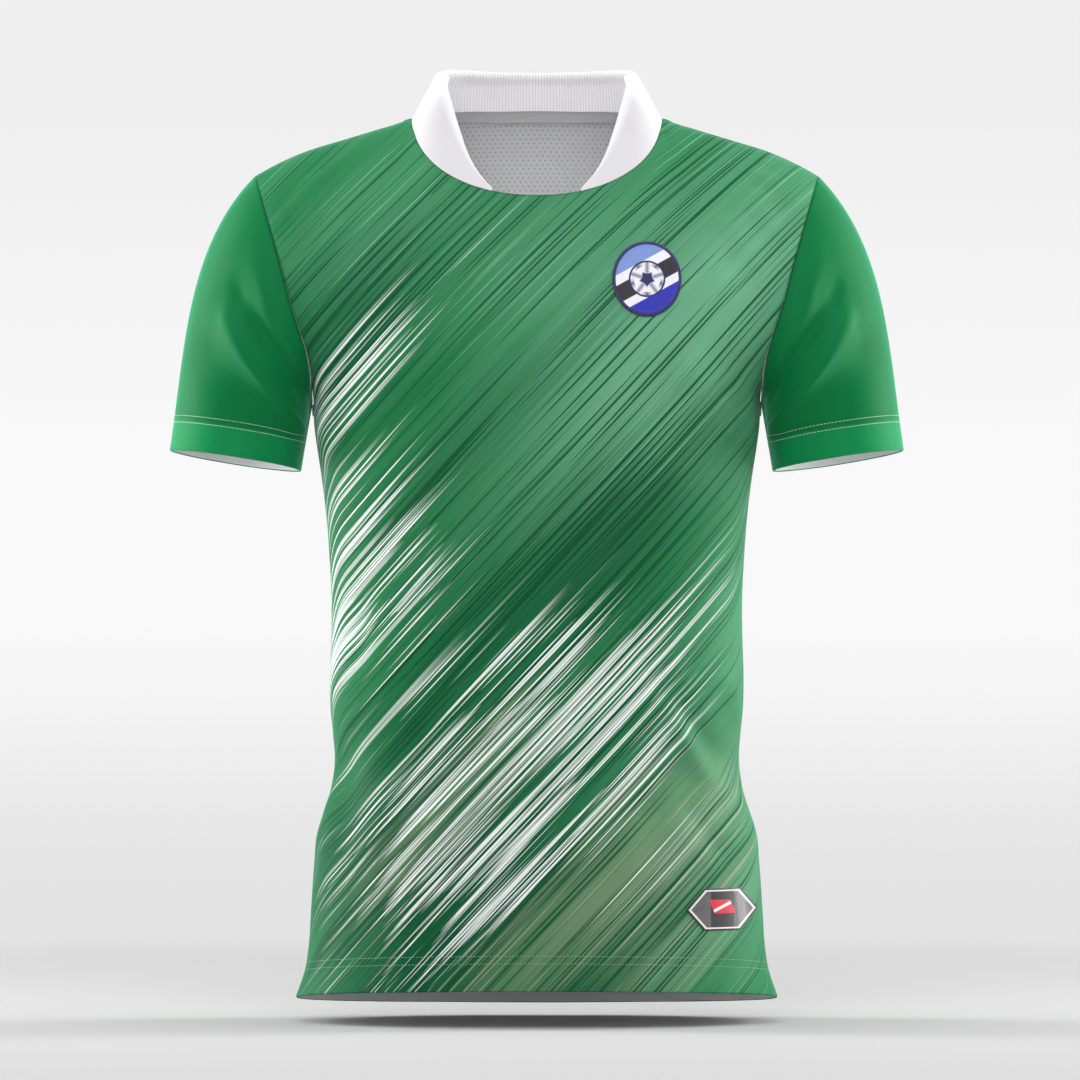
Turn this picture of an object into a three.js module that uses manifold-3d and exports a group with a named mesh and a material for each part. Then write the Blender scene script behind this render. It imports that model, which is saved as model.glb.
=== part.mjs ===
// Short-sleeved football jersey, standing in the hollow shape that it has when it is worn.
// Millimetres, +Z up. The front faces -Y and the wearer's left sleeve is towards +X.
// Origin: midway between the two points where a shoulder seam meets the collar.
import * as THREE from "three";
import { mergeVertices } from "three/addons/utils/BufferGeometryUtils.js";
import Module from "manifold-3d";

// Cloth
const CLOTH = 1.6; // wall of the knitted panels and sleeves
const HEM_CLOTH = 2.6; // the same wall where the hem is turned up and doubled
const HEM_HEIGHT = 22; // height of the turned hem at the bottom and at the cuffs
const HEM_STEP = 2; // height over which the doubled wall runs out
const RIB = 2.6; // doubled rib of the collar
const TAPE = 1.0; // tape over the back neck seam
const PATCH = 1.2; // crest and hem patches
const SEAM_GAP = 0.34; // clearance between pieces that are sewn edge to edge
const NECK_GAP = 0.42; // clearance under the collar and under the tape, where the neckline curves

// Heights
const PIT_Z = -225; // bottom of the armhole
const HEM_Z = -702.5; // hem, level with the side seams
const HEM_TILT = -0.08; // the chest lifts the front hem, so the hem drops towards the back
const TILT_FROM_Z = -380; // the drop grows from here down to the hem

// Torso
const TORSO_ROUND = 2.4; // exponent of the torso's rings, 2 being an ellipse
// Rings of the torso. half is half the width, front and back are depths from the side seam.
// Above the armpit, half is that of the torso and upper arms together, which the armholes trim.
const TORSO = [
  { z: -725, half: 198.0, front: 121, back: 119 },
  { z: -702, half: 192.4, front: 120, back: 117 },
  { z: -688, half: 187.0, front: 118, back: 115 },
  { z: -664, half: 182.6, front: 117, back: 113 },
  { z: -620, half: 179.8, front: 116, back: 110 },
  { z: -578, half: 176.0, front: 114, back: 106 },
  { z: -545, half: 166.8, front: 109, back: 100 },
  { z: -515, half: 161.6, front: 106, back: 95 },
  { z: -463, half: 165.2, front: 106, back: 92 },
  { z: -395, half: 164.2, front: 108, back: 92 },
  { z: -330, half: 167.4, front: 113, back: 98 },
  { z: -240, half: 178.0, front: 119, back: 108 },
  { z: -225, half: 178.8, front: 119, back: 110 },
  { z: -211, half: 187.0, front: 119, back: 111 },
  { z: -170, half: 222.0, front: 119, back: 114 },
  { z: -127, half: 244.0, front: 119, back: 116 },
  { z: -40, half: 254.0, front: 119, back: 116 },
];
// The panels arch over the shoulders, from foot upwards. round is the exponent of the arch.
const ARCH = {
  front: { foot: -250, round: 1.9 },
  back: { foot: -230, round: 2.2 },
};
// Height of the shoulder seam at each distance from the middle; under the neck it is the arch's crown.
const SHOULDER = [
  { x: -50, z: 22.4 },
  { x: 0, z: 28.6 },
  { x: 50, z: 22.4 },
  { x: 75, z: 14 },
  { x: 99.5, z: 0 },
  { x: 129, z: -9.4 },
  { x: 156, z: -17.6 },
  { x: 184, z: -26.2 },
  { x: 205, z: -35.2 },
  { x: 225, z: -46 },
];
// Armhole seam: its distance from the middle at each height
const ARMHOLE = [
  { z: -225, x: 178.8 },
  { z: -211, x: 179.6 },
  { z: -188, x: 183.2 },
  { z: -153, x: 194.6 },
  { z: -127, x: 201.6 },
  { z: -85, x: 213.6 },
  { z: -46, x: 225 },
];

// Neckline
const NECK_HALF = 99.5; // half the width of the neckline
const NECK_DROP = 64.6; // depth of the front neckline
const NECK_ROUND = 2.1; // exponent of the front neckline
const NECK_BACK = 50; // how far the back neckline lies behind the shoulder seams

// Collar, by the angle round the neckline from the middle of the front.
// lean is the angle from upright towards the neck.
const COLLAR = [
  { angle: 20, height: 3.2, lean: 50 },
  { angle: 30, height: 19, lean: 48 },
  { angle: 40, height: 32, lean: 46 },
  { angle: 50, height: 39.5, lean: 44 },
  { angle: 60, height: 42, lean: 42 },
  { angle: 75, height: 43.5, lean: 38 },
  { angle: 90, height: 43.5, lean: 33 },
  { angle: 120, height: 37.5, lean: 23 },
  { angle: 150, height: 31, lean: 12 },
  { angle: 180, height: 29, lean: 8 },
];
const COLLAR_BULGE = 1.6; // the collar's outer face is this much rounder than a straight cone
const TAPE_TOP = 0.6; // distance of the tape's upper edge below the neck seam
const TAPE_WIDTH = 12.7;

// Sleeves
const CUFF = { x: 241, z: -273.6, half: 53.2, depth: 55, tilt: 8.9 }; // tilt in degrees from level
const CUFF_BACK_DROP = 3; // the back of the cuff hangs this much lower than its middle
// Directions in which the sleeve leaves the armhole seam, and its length over the straight distance
const SLEEVE_LEAVES = [
  { at: "underarm", x: 0.16, y: 0, z: -0.98, slack: 1.0 },
  { at: "front", x: 0.8, y: 0.16, z: -0.58, slack: 1.06 },
  { at: "shoulder", x: 0.7, y: 0, z: -0.71, slack: 1.05 },
];

// Folds, as seen from the front: a soft ridge (height over 0) or trough along a line from 1 to 2
const FRONT_FOLDS = [
  { x1: 176, z1: -256, x2: 112, z2: -196, width: 17, height: 3.6 },
  { x1: 178, z1: -292, x2: 104, z2: -250, width: 19, height: -3.4 },
  { x1: -176, z1: -254, x2: -116, z2: -200, width: 17, height: 3.4 },
  { x1: -178, z1: -290, x2: -110, z2: -256, width: 19, height: -3.2 },
  { x1: 170, z1: -512, x2: 92, z2: -560, width: 20, height: -5.0 },
  { x1: 176, z1: -560, x2: 96, z2: -624, width: 22, height: 4.6 },
  { x1: -172, z1: -514, x2: -100, z2: -556, width: 20, height: -4.6 },
  { x1: -176, z1: -562, x2: -104, z2: -612, width: 22, height: 4.2 },
  { x1: 166, z1: -440, x2: 96, z2: -470, width: 22, height: 3.2 },
  { x1: -166, z1: -446, x2: -100, z2: -480, width: 22, height: 3.2 },
  { x1: 56, z1: -600, x2: 78, z2: -710, width: 28, height: 3.4 },
  { x1: -92, z1: -610, x2: -104, z2: -710, width: 26, height: 3.0 },
  { x1: -10, z1: -620, x2: -18, z2: -710, width: 26, height: -1.8 },
  { x1: 192, z1: -76, x2: 156, z2: -112, width: 14, height: -2.4 },
  { x1: -192, z1: -78, x2: -158, z2: -108, width: 14, height: -2.2 },
];
const BACK_FOLDS = [
  { x1: 170, z1: -240, x2: 100, z2: -190, width: 19, height: 4.0 },
  { x1: 176, z1: -280, x2: 100, z2: -244, width: 19, height: -3.8 },
  { x1: -170, z1: -244, x2: -98, z2: -198, width: 19, height: 3.8 },
  { x1: -176, z1: -284, x2: -104, z2: -254, width: 19, height: -3.6 },
  { x1: 160, z1: -468, x2: 26, z2: -502, width: 21, height: -5.0 },
  { x1: 164, z1: -512, x2: 30, z2: -548, width: 21, height: 4.6 },
  { x1: -160, z1: -450, x2: -40, z2: -486, width: 21, height: -4.6 },
  { x1: -164, z1: -498, x2: -26, z2: -534, width: 21, height: 4.4 },
  { x1: 70, z1: -600, x2: 88, z2: -715, width: 28, height: 3.8 },
  { x1: -64, z1: -590, x2: -76, z2: -715, width: 28, height: 3.8 },
  { x1: 4, z1: -610, x2: 6, z2: -715, width: 28, height: -2.4 },
];
const SLEEVE_FRONT_FOLDS = [
  { x1: 192, z1: -244, x2: 240, z2: -172, width: 13, height: 5.0 },
  { x1: 194, z1: -214, x2: 234, z2: -142, width: 13, height: -5.0 },
  { x1: 196, z1: -190, x2: 222, z2: -132, width: 12, height: 3.6 },
  { x1: 212, z1: -262, x2: 264, z2: -190, width: 15, height: -3.6 },
];
const SLEEVE_BACK_FOLDS = [
  { x1: 192, z1: -246, x2: 238, z2: -170, width: 13, height: 5.0 },
  { x1: 198, z1: -214, x2: 238, z2: -134, width: 13, height: -4.6 },
  { x1: 212, z1: -264, x2: 266, z2: -200, width: 15, height: -3.4 },
];
const FOLD_FADE = 45; // folds of a panel or sleeve die out over this depth in front of its seam

// Patches sewn on the front, placed and measured as seen from the front
const CREST = { x: 87, z: -131.5, halfWidth: 27, halfHeight: 29.5, sides: 32 };
const HEM_PATCH = { x: 146.6, z: -630 };
const HEM_PATCH_OUTLINE = [
  { u: -28.6, v: -1.2 },
  { u: -19.4, v: -15.2 },
  { u: -17.6, v: -16.4 },
  { u: 17.6, v: -16.4 },
  { u: 19.4, v: -15.2 },
  { u: 28.6, v: -1.2 },
  { u: 28.6, v: 1.2 },
  { u: 19.4, v: 15.2 },
  { u: 17.6, v: 16.4 },
  { u: -17.6, v: 16.4 },
  { u: -19.4, v: 15.2 },
  { u: -28.6, v: 1.2 },
];

// Fineness
const NECK_COLUMNS = 9; // columns of cloth between the middle and a shoulder seam, for one side
const SHOULDER_COLUMNS = 9;
const BODY_ROWS = 22; // rows between the turned hem and the armpit
const ARMHOLE_ROWS = 13;
const SLEEVE_ROWS = 12;
const COLLAR_STEPS = 3; // up each face of the collar
const RIM_STEPS = 3; // round the collar's folded top
const COLLAR_FROM = 20; // degrees round the neckline at which the collar starts

const COLUMNS = NECK_COLUMNS + SHOULDER_COLUMNS;
const SIDES = {
  front: { sign: -1, arch: ARCH.front, depth: "front", folds: FRONT_FOLDS },
  back: { sign: 1, arch: ARCH.back, depth: "back", folds: BACK_FOLDS },
};
const degrees = THREE.MathUtils.degToRad;
const smooth = THREE.MathUtils.smoothstep;
const mix = THREE.MathUtils.lerp;
const clamp = THREE.MathUtils.clamp;

// A smooth curve through a table's rows that never overshoots them: its value for key at any place.
function curveThrough(rows, place, key) {
  const at = rows.map((row) => row[place]);
  const value = rows.map((row) => row[key]);
  const slope = at.slice(1).map((next, i) => (value[i + 1] - value[i]) / (next - at[i]));
  const tangent = at.map((_, i) => {
    const before = slope[Math.max(i - 1, 0)];
    const after = slope[Math.min(i, slope.length - 1)];
    return before * after <= 0 ? 0 : (2 * before * after) / (before + after);
  });
  return (wanted) => {
    const x = clamp(wanted, at[0], at[at.length - 1]);
    const i = clamp(at.findIndex((a) => a > x) - 1, 0, slope.length - 1);
    const k = x >= at[at.length - 1] ? slope.length - 1 : i;
    const span = at[k + 1] - at[k];
    const t = (x - at[k]) / span;
    const risen = value[k] * (2 * t ** 3 - 3 * t ** 2 + 1) + value[k + 1] * (3 * t ** 2 - 2 * t ** 3);
    return risen + span * (tangent[k] * (t ** 3 - 2 * t ** 2 + t) + tangent[k + 1] * (t ** 3 - t ** 2));
  };
}

const torsoHalf = curveThrough(TORSO, "z", "half");
const torsoDepth = {
  front: curveThrough(TORSO, "z", "front"),
  back: curveThrough(TORSO, "z", "back"),
};
const shoulderHeight = curveThrough(SHOULDER, "x", "z");
const armholeX = curveThrough(ARMHOLE, "z", "x");
const collarHeight = curveThrough(COLLAR, "angle", "height");
const collarLean = curveThrough(COLLAR, "angle", "lean");
const SHOULDER_Z = shoulderHeight(armholeX(0));

// Height of the folds over the smooth cloth at a place seen from the front.
function foldsAt(folds, x, z) {
  return folds.reduce((sum, fold) => {
    const along = new THREE.Vector2(fold.x2 - fold.x1, fold.z2 - fold.z1);
    const from = new THREE.Vector2(x - fold.x1, z - fold.z1);
    const nearest = along.clone().multiplyScalar(clamp(from.dot(along) / along.lengthSq(), 0, 1));
    const away = from.distanceTo(nearest) / fold.width;
    return sum + fold.height * Math.exp(-away * away);
  }, 0);
}

// A point of the torso's outer face on one side, at x and height z, with its folds and its hem's drop.
function torsoPoint(side, x, z) {
  const { sign, arch, folds } = SIDES[side];
  const half = torsoHalf(z);
  const across = Math.min(Math.abs(x) / half, 1);
  const crown = shoulderHeight(Math.abs(x)) - arch.foot;
  const risen = clamp((z - arch.foot) / crown, 0, 1);
  const arched = (1 - risen ** arch.round) ** (1 / arch.round);
  const depth = torsoDepth[side](z) * arched;
  const share = (1 - across ** TORSO_ROUND) ** (1 / TORSO_ROUND);
  const y = sign * depth * share;
  // The gradient of the ring's and the arch's formulas gives the direction in which a fold stands out.
  const steep = (risen ** (arch.round - 1) * Math.max(arched, 1e-3) ** (1 - arch.round)) / crown;
  const outwards = new THREE.Vector3(
    (Math.sign(x) * across ** (TORSO_ROUND - 1)) / half,
    (sign * share ** (TORSO_ROUND - 1)) / Math.max(depth, 1),
    (share ** TORSO_ROUND * steep) / Math.max(arched, 1e-2),
  ).normalize();
  const height = foldsAt(folds, x, z) * smooth(Math.abs(y), 0, FOLD_FADE);
  const drop = HEM_TILT * y * smooth(-z, -TILT_FROM_Z, -HEM_Z);
  return new THREE.Vector3(x, y, z + drop).addScaledVector(outwards, height);
}

// Where the panel ends at the top, for one column: along the neckline and then the shoulder seam.
function panelTop(side, column) {
  if (column > NECK_COLUMNS) {
    const share = (column - NECK_COLUMNS) / SHOULDER_COLUMNS;
    const x = mix(NECK_HALF, armholeX(0), share);
    return { x, z: shoulderHeight(x) };
  }
  const turn = degrees((90 * column) / NECK_COLUMNS);
  if (side === "front") {
    const x = NECK_HALF * Math.sin(turn) ** (2 / NECK_ROUND);
    return { x, z: -NECK_DROP * Math.abs(Math.cos(turn)) ** (2 / NECK_ROUND) };
  }
  const x = NECK_HALF * Math.sin(turn);
  const { arch } = SIDES.back;
  const top = torsoDepth.back(0) * (1 - (x / torsoHalf(0)) ** TORSO_ROUND) ** (1 / TORSO_ROUND);
  const arched = (NECK_BACK * Math.cos(turn)) / top;
  const risen = (1 - arched ** arch.round) ** (1 / arch.round);
  return { x, z: arch.foot + risen * (shoulderHeight(x) - arch.foot) };
}

// Heights of a panel's rows where they meet the side seam and the armhole.
function rowHeights() {
  const hem = [HEM_Z, HEM_Z + HEM_HEIGHT, HEM_Z + HEM_HEIGHT + HEM_STEP];
  const body = Array.from({ length: BODY_ROWS }, (_, i) => mix(hem[2], PIT_Z, (i + 1) / BODY_ROWS));
  const armhole = Array.from({ length: ARMHOLE_ROWS }, (_, i) => {
    const share = (1 - Math.cos((Math.PI * (i + 1)) / ARMHOLE_ROWS)) / 2;
    return mix(PIT_Z, SHOULDER_Z, share);
  });
  return [...hem, ...body, ...armhole];
}

const ROWS = rowHeights();
const PIT_ROW = ROWS.length - 1 - ARMHOLE_ROWS;

// The outer face of the front or back, as rows of points from the right side seam to the left one.
function panelFace(side) {
  return ROWS.map((edgeZ) => {
    const bent = Math.max(0, (edgeZ - PIT_Z) / (SHOULDER_Z - PIT_Z)) ** 2;
    const edgeX = edgeZ > PIT_Z ? armholeX(edgeZ) : torsoHalf(edgeZ);
    return Array.from({ length: 2 * COLUMNS + 1 }, (_, i) => {
      const column = Math.abs(i - COLUMNS);
      const top = panelTop(side, column);
      const level = Math.sin((Math.PI / 2) * (column / COLUMNS)) ** (2 / TORSO_ROUND);
      const x = edgeX * mix(level, top.x / armholeX(0), bent);
      const z = edgeZ + bent * (top.z - SHOULDER_Z);
      return torsoPoint(side, Math.sign(i - COLUMNS) * x, z);
    });
  });
}

// The outward direction at each point of a face of rows; ring says that each row closes on itself.
function directions(face, ring, flip) {
  const last = face[0].length - 1;
  return face.map((row, j) =>
    row.map((_, i) => {
      const before = ring ? (i + last) % (last + 1) : Math.max(i - 1, 0);
      const after = ring ? (i + 1) % (last + 1) : Math.min(i + 1, last);
      const across = row[after].clone().sub(row[before]);
      const up = face[Math.min(j + 1, face.length - 1)][i].clone().sub(face[Math.max(j - 1, 0)][i]);
      return across.cross(up).multiplyScalar(flip).normalize();
    }),
  );
}

// Moves each point of a face against its direction by the wall's thickness in that row.
function innerFace(face, outwards, thickness) {
  return face.map((row, j) => row.map((p, i) => p.clone().addScaledVector(outwards[j][i], -thickness(j))));
}

// A closed body from faces of triangles, turned so that they look outwards.
function body(corners) {
  const a = new THREE.Vector3();
  const volume = corners.reduce((sum, [p, q, r]) => sum + p.dot(a.crossVectors(q, r)), 0);
  const points = corners.flatMap(([p, q, r]) => (volume > 0 ? [p, q, r] : [p, r, q]));
  return new THREE.BufferGeometry().setFromPoints(points);
}

// The two triangles of a cell between two rows of points.
function cell(low, high, i, k) {
  return [
    [low[i], low[k], high[k]],
    [low[i], high[k], high[i]],
  ];
}

// Triangles that face the other way.
function turnedOver(corners) {
  return corners.map(([p, q, r]) => [p, r, q]);
}

// The triangles between two rows of points.
function band(low, high, ring) {
  const cells = ring ? low.length : low.length - 1;
  return Array.from({ length: cells }, (_, i) => cell(low, high, i, (i + 1) % low.length)).flat();
}

// A wall of cloth between an outer and an inner face of rows.
function wall(outer, inner, ring) {
  const last = outer.length - 1;
  const faces = outer.slice(1).flatMap((row, j) => [
    ...band(outer[j], row, ring),
    ...band(inner[j + 1], inner[j], ring),
  ]);
  const ends = [...band(inner[0], outer[0], ring), ...band(outer[last], inner[last], ring)];
  const edges = ring ? [] : [0, outer[0].length - 1].flatMap((i) => {
    const rims = [outer.map((row) => row[i]), inner.map((row) => row[i])];
    return i === 0 ? band(rims[0], rims[1], false) : band(rims[1], rims[0], false);
  });
  return body([...faces, ...ends, ...edges]);
}

// The wall's thickness in each row, doubled in the rows that a turned hem covers.
const hemmed = (isHem) => (j) => (isHem(j) ? HEM_CLOTH : CLOTH);

const panels = Object.fromEntries(
  Object.entries(SIDES).map(([side, { sign }]) => {
    const face = panelFace(side);
    return [side, { sign, face, outwards: directions(face, false, -sign) }];
  }),
);

// At the side and shoulder seams the cloth runs straight from the front to the back.
function joinPanels() {
  const { front, back } = panels;
  front.face.forEach((row, j) =>
    row.forEach((point, i) => {
      if (Math.abs(point.y) > 0.01 || Math.abs(back.face[j][i].y) > 0.01) return;
      const shared = front.outwards[j][i].clone().add(back.outwards[j][i]).setY(0).normalize();
      front.outwards[j][i] = shared;
      back.outwards[j][i] = shared.clone();
    }),
  );
}

// The armhole seam of the left sleeve as a loop: up the front from the armpit and down the back.
function armholeLoop() {
  const rows = Array.from({ length: ARMHOLE_ROWS + 1 }, (_, i) => PIT_ROW + i);
  const edge = (side) => rows.map((j) => ({ side, j, i: 2 * COLUMNS, point: panels[side].face[j][2 * COLUMNS] }));
  return [...edge("front"), ...edge("back").slice(1, -1).reverse()];
}

// The direction in which the sleeve leaves the seam, at a share of the way round it from the armpit.
function sleeveLeaves(share) {
  const [underarm, front, shoulder] = SLEEVE_LEAVES;
  const turn = 2 * Math.PI * share;
  const up = (1 - Math.cos(turn)) / 2;
  const sideways = Math.sin(turn) ** 2;
  const blend = (key) => mix(mix(underarm[key], shoulder[key], up), front[key], sideways);
  const direction = new THREE.Vector3(blend("x"), -Math.sin(turn) * front.y, blend("z")).normalize();
  return { direction, slack: blend("slack") };
}

// The outer face of the left sleeve, as rings from the armhole seam to the cuff.
function sleeveFace(loop) {
  const tilt = degrees(CUFF.tilt);
  const down = new THREE.Vector3(Math.sin(tilt), 0, -Math.cos(tilt));
  const rays = loop.map(({ point }, k) => {
    const share = k / loop.length;
    const turn = 2 * Math.PI * share;
    const end = new THREE.Vector3(
      CUFF.x - CUFF.half * Math.cos(turn) * Math.cos(tilt),
      -CUFF.depth * Math.sin(turn),
      CUFF.z - CUFF.half * Math.cos(turn) * Math.sin(tilt) + CUFF_BACK_DROP * Math.sin(turn),
    );
    const { direction, slack } = sleeveLeaves(share);
    const reach = point.distanceTo(end) * slack;
    return { start: point, end, leave: direction.multiplyScalar(reach), arrive: down.clone().multiplyScalar(reach), reach };
  });
  const along = (ray, r) => {
    const hemShare = (HEM_HEIGHT + HEM_STEP) / ray.reach;
    if (r <= SLEEVE_ROWS) return (1 - hemShare) * (r / SLEEVE_ROWS);
    return r === SLEEVE_ROWS + 1 ? 1 - HEM_HEIGHT / ray.reach : 1;
  };
  return Array.from({ length: SLEEVE_ROWS + 3 }, (_, r) =>
    rays.map((ray) => {
      const t = along(ray, r);
      const point = new THREE.Vector3()
        .addScaledVector(ray.start, 2 * t ** 3 - 3 * t ** 2 + 1)
        .addScaledVector(ray.leave, t ** 3 - 2 * t ** 2 + t)
        .addScaledVector(ray.end, 3 * t ** 2 - 2 * t ** 3)
        .addScaledVector(ray.arrive, t ** 3 - t ** 2);
      return point;
    }),
  );
}

// Raises the folds of the sleeve, which start clear of the armhole seam.
function foldSleeve(face, outwards) {
  const start = 2; // rows over which the folds grow
  return face.map((row, r) =>
    row.map((p, k) => {
      const folds = p.y < 0 ? SLEEVE_FRONT_FOLDS : SLEEVE_BACK_FOLDS;
      const height = foldsAt(folds, p.x, p.z) * smooth(Math.abs(p.y), 0, FOLD_FADE) * smooth(r, 0, start);
      return p.clone().addScaledVector(outwards[r][k], height);
    }),
  );
}

joinPanels();
const loop = armholeLoop();
const smoothSleeve = sleeveFace(loop);
const sleeve = { face: foldSleeve(smoothSleeve, directions(smoothSleeve, true, -1)) };
sleeve.outwards = directions(sleeve.face, true, -1);

// Parts the armhole seam: the panels' edges and the sleeve's edge move half the gap away from it,
// and where the shoulder rounds over the seam both walls are cut along one mitre.
function partArmhole() {
  const round = loop.map(({ point }) => point.clone());
  loop.forEach(({ side, j, i, point }, k) => {
    const tangent = round[(k + 1) % round.length].clone().sub(round[(k + round.length - 1) % round.length]).normalize();
    const flat = (v) => v.addScaledVector(tangent, -v.dot(tangent)).normalize();
    const atRidge = k === ARMHOLE_ROWS;
    const atPit = k === 0;
    const intoPanel = atPit
      ? new THREE.Vector3(0, 0, -1)
      : flat(panels[side].face[j][i - 1].clone().sub(point));
    const intoSleeve = flat(sleeve.face[1][k].clone().sub(point));
    const panelOut = panels[side].outwards[j][i];
    const sleeveOut = sleeve.outwards[0][k];
    if (atRidge || atPit) {
      intoPanel.setY(0).normalize();
      intoSleeve.setY(0).normalize();
      panelOut.setY(0).normalize();
      sleeveOut.setY(0).normalize();
    }
    const apart = intoSleeve.clone().sub(intoPanel).normalize();
    const both = panelOut.clone().add(sleeveOut);
    if (intoSleeve.dot(panelOut) < 0) {
      both.normalize();
      panelOut.copy(both);
      sleeveOut.copy(both);
    }
    sleeve.face[0][k] = point.clone().addScaledVector(apart, SEAM_GAP / 2);
    const others = atRidge || atPit ? ["front", "back"] : [side];
    others.forEach((name) => {
      panels[name].face[j][i] = point.clone().addScaledVector(apart, -SEAM_GAP / 2);
      panels[name].outwards[j][i] = panelOut.clone();
    });
  });
}

// Gives the right armhole the same edges as the left one, mirrored.
function mirrorArmhole() {
  const mirrored = (v) => new THREE.Vector3(-v.x, v.y, v.z);
  Object.values(panels).forEach(({ face, outwards }) => {
    for (let j = PIT_ROW; j < ROWS.length; j += 1) {
      face[j][0] = mirrored(face[j][2 * COLUMNS]);
      outwards[j][0] = mirrored(outwards[j][2 * COLUMNS]);
    }
  });
}

// The neckline as one open row, from the collar's right front end round the back to its left one.
function neckSeam() {
  const top = ROWS.length - 1;
  const at = (side, column, sign) => ({
    point: panels[side].face[top][COLUMNS + sign * column].clone(),
    outward: panels[side].outwards[top][COLUMNS + sign * column].clone(),
  });
  const degreesEach = 90 / NECK_COLUMNS;
  const first = COLLAR_FROM / degreesEach;
  const quarter = (sign) => [
    ...Array.from({ length: NECK_COLUMNS - first + 1 }, (_, i) => ({
      angle: (first + i) * degreesEach,
      ...at("front", first + i, sign),
    })),
    ...Array.from({ length: NECK_COLUMNS }, (_, i) => ({
      angle: 90 + (i + 1) * degreesEach,
      ...at("back", NECK_COLUMNS - 1 - i, sign),
    })),
  ];
  return [...quarter(-1), ...quarter(1).slice(0, -1).reverse()];
}

// The collar: a doubled rib that stands up from the neckline and tapers to nothing towards the front.
function collar(seam) {
  const up = new THREE.Vector3(0, 0, 1);
  const sections = seam.map(({ angle, point, outward }, k) => {
    const next = seam[Math.min(k + 1, seam.length - 1)].point;
    const before = seam[Math.max(k - 1, 0)].point;
    const along = next.clone().sub(before).normalize();
    const foot = along.clone().cross(outward);
    const inwards = new THREE.Vector3().crossVectors(along, up).normalize();
    const lean = degrees(collarLean(angle));
    const rise = up.clone().multiplyScalar(Math.cos(lean)).addScaledVector(inwards, Math.sin(lean));
    const through = inwards.clone().multiplyScalar(Math.cos(lean)).addScaledVector(up, -Math.sin(lean));
    const start = point.clone().addScaledVector(foot, NECK_GAP);
    const radius = RIB / 2;
    const height = Math.max(collarHeight(angle) - radius, 0.4);
    const bulge = (share) => COLLAR_BULGE * 4 * share * (1 - share) * smooth(height, 8, 30);
    // Through the rib's thickness: square to the panel at the foot and square to the collar above it.
    const across = (share) => outward.clone().negate().lerp(through, smooth(share, 0, 0.6)).normalize();
    const at = (share, depth) =>
      start.clone().addScaledVector(rise, height * share).addScaledVector(across(share), depth - bulge(share));
    const top = at(1, radius);
    const steps = Array.from({ length: COLLAR_STEPS + 1 }, (_, i) => i / COLLAR_STEPS);
    const rim = Array.from({ length: RIM_STEPS - 1 }, (_, i) => (Math.PI * (i + 1)) / RIM_STEPS);
    return [
      ...steps.map((share) => at(share, 0)),
      ...rim.map((turn) =>
        top.clone().addScaledVector(rise, radius * Math.sin(turn)).addScaledVector(through, -radius * Math.cos(turn)),
      ),
      ...steps.reverse().map((share) => at(share, RIB)),
    ];
  });
  const sides = sections.slice(1).flatMap((section, k) => band(sections[k], section, true));
  const cap = (section) => section.slice(1, -1).map((p, i) => [section[0], p, section[i + 2]]);
  const ends = [...turnedOver(cap(sections[0])), ...cap(sections[sections.length - 1])];
  return body([...sides, ...ends]);
}

// The point and outward direction at a distance down a column of a panel from its top edge.
function downColumn({ face, outwards }, i, distance) {
  let left = distance;
  let j = face.length - 1;
  while (face[j][i].distanceTo(face[j - 1][i]) < left) {
    left -= face[j][i].distanceTo(face[j - 1][i]);
    j -= 1;
  }
  const share = left / face[j][i].distanceTo(face[j - 1][i]);
  return {
    point: face[j][i].clone().lerp(face[j - 1][i], share),
    outward: outwards[j][i].clone().lerp(outwards[j - 1][i], share).normalize(),
  };
}

// The tape that covers the back neck seam, inside the back just below the collar.
function neckTape() {
  const columns = Array.from({ length: 2 * NECK_COLUMNS - 1 }, (_, i) => COLUMNS - NECK_COLUMNS + 1 + i);
  const level = (distance) => columns.map((i) => downColumn(panels.back, i, distance));
  const levels = [TAPE_TOP + TAPE_WIDTH, TAPE_TOP + TAPE_WIDTH / 2, TAPE_TOP].map(level);
  const moved = (depth) => levels.map((row) => row.map(({ point, outward }) => point.clone().addScaledVector(outward, -depth)));
  return wall(moved(CLOTH + NECK_GAP), moved(CLOTH + NECK_GAP + TAPE), false);
}

// A closed geometry as a solid that can be cut.
function solid(geometry) {
  const bare = new THREE.BufferGeometry().setAttribute("position", geometry.getAttribute("position"));
  const merged = mergeVertices(bare.setIndex(geometry.getIndex()), 1e-3);
  return new solids.Manifold(
    new solids.Mesh({
      numProp: 3,
      vertProperties: merged.getAttribute("position").array,
      triVerts: new Uint32Array(merged.getIndex().array),
    }),
  );
}

// A patch that lies on the front: a layer moved out from the panel, cut to an outline seen from the front.
function patch(outline) {
  const { face, outwards } = panels.front;
  const low = innerFace(face, outwards, () => -SEAM_GAP);
  const high = innerFace(face, outwards, () => -SEAM_GAP - PATCH);
  const shape = new THREE.Shape(outline.map(([x, z]) => new THREE.Vector2(x, z)));
  const depth = 2 * torsoDepth.front(HEM_Z);
  const cutter = new THREE.ExtrudeGeometry(shape, { depth, bevelEnabled: false }).rotateX(Math.PI / 2);
  const { vertProperties, triVerts } = solid(wall(high, low, false)).intersect(solid(cutter)).getMesh();
  return new THREE.BufferGeometry()
    .setAttribute("position", new THREE.BufferAttribute(new Float32Array(vertProperties), 3))
    .setIndex(Array.from(triVerts));
}

function crestOutline({ x, z, halfWidth, halfHeight, sides }) {
  return Array.from({ length: sides }, (_, k) => {
    const turn = (2 * Math.PI * k) / sides;
    return [x + halfWidth * Math.cos(turn), z + halfHeight * Math.sin(turn)];
  });
}

partArmhole();
mirrorArmhole();
Object.values(panels).forEach(({ sign, face }) => {
  face.forEach((row) => row.forEach((p) => {
    if (Math.abs(p.y) < 0.01) p.y = (sign * SEAM_GAP) / 2;
  }));
});

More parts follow.
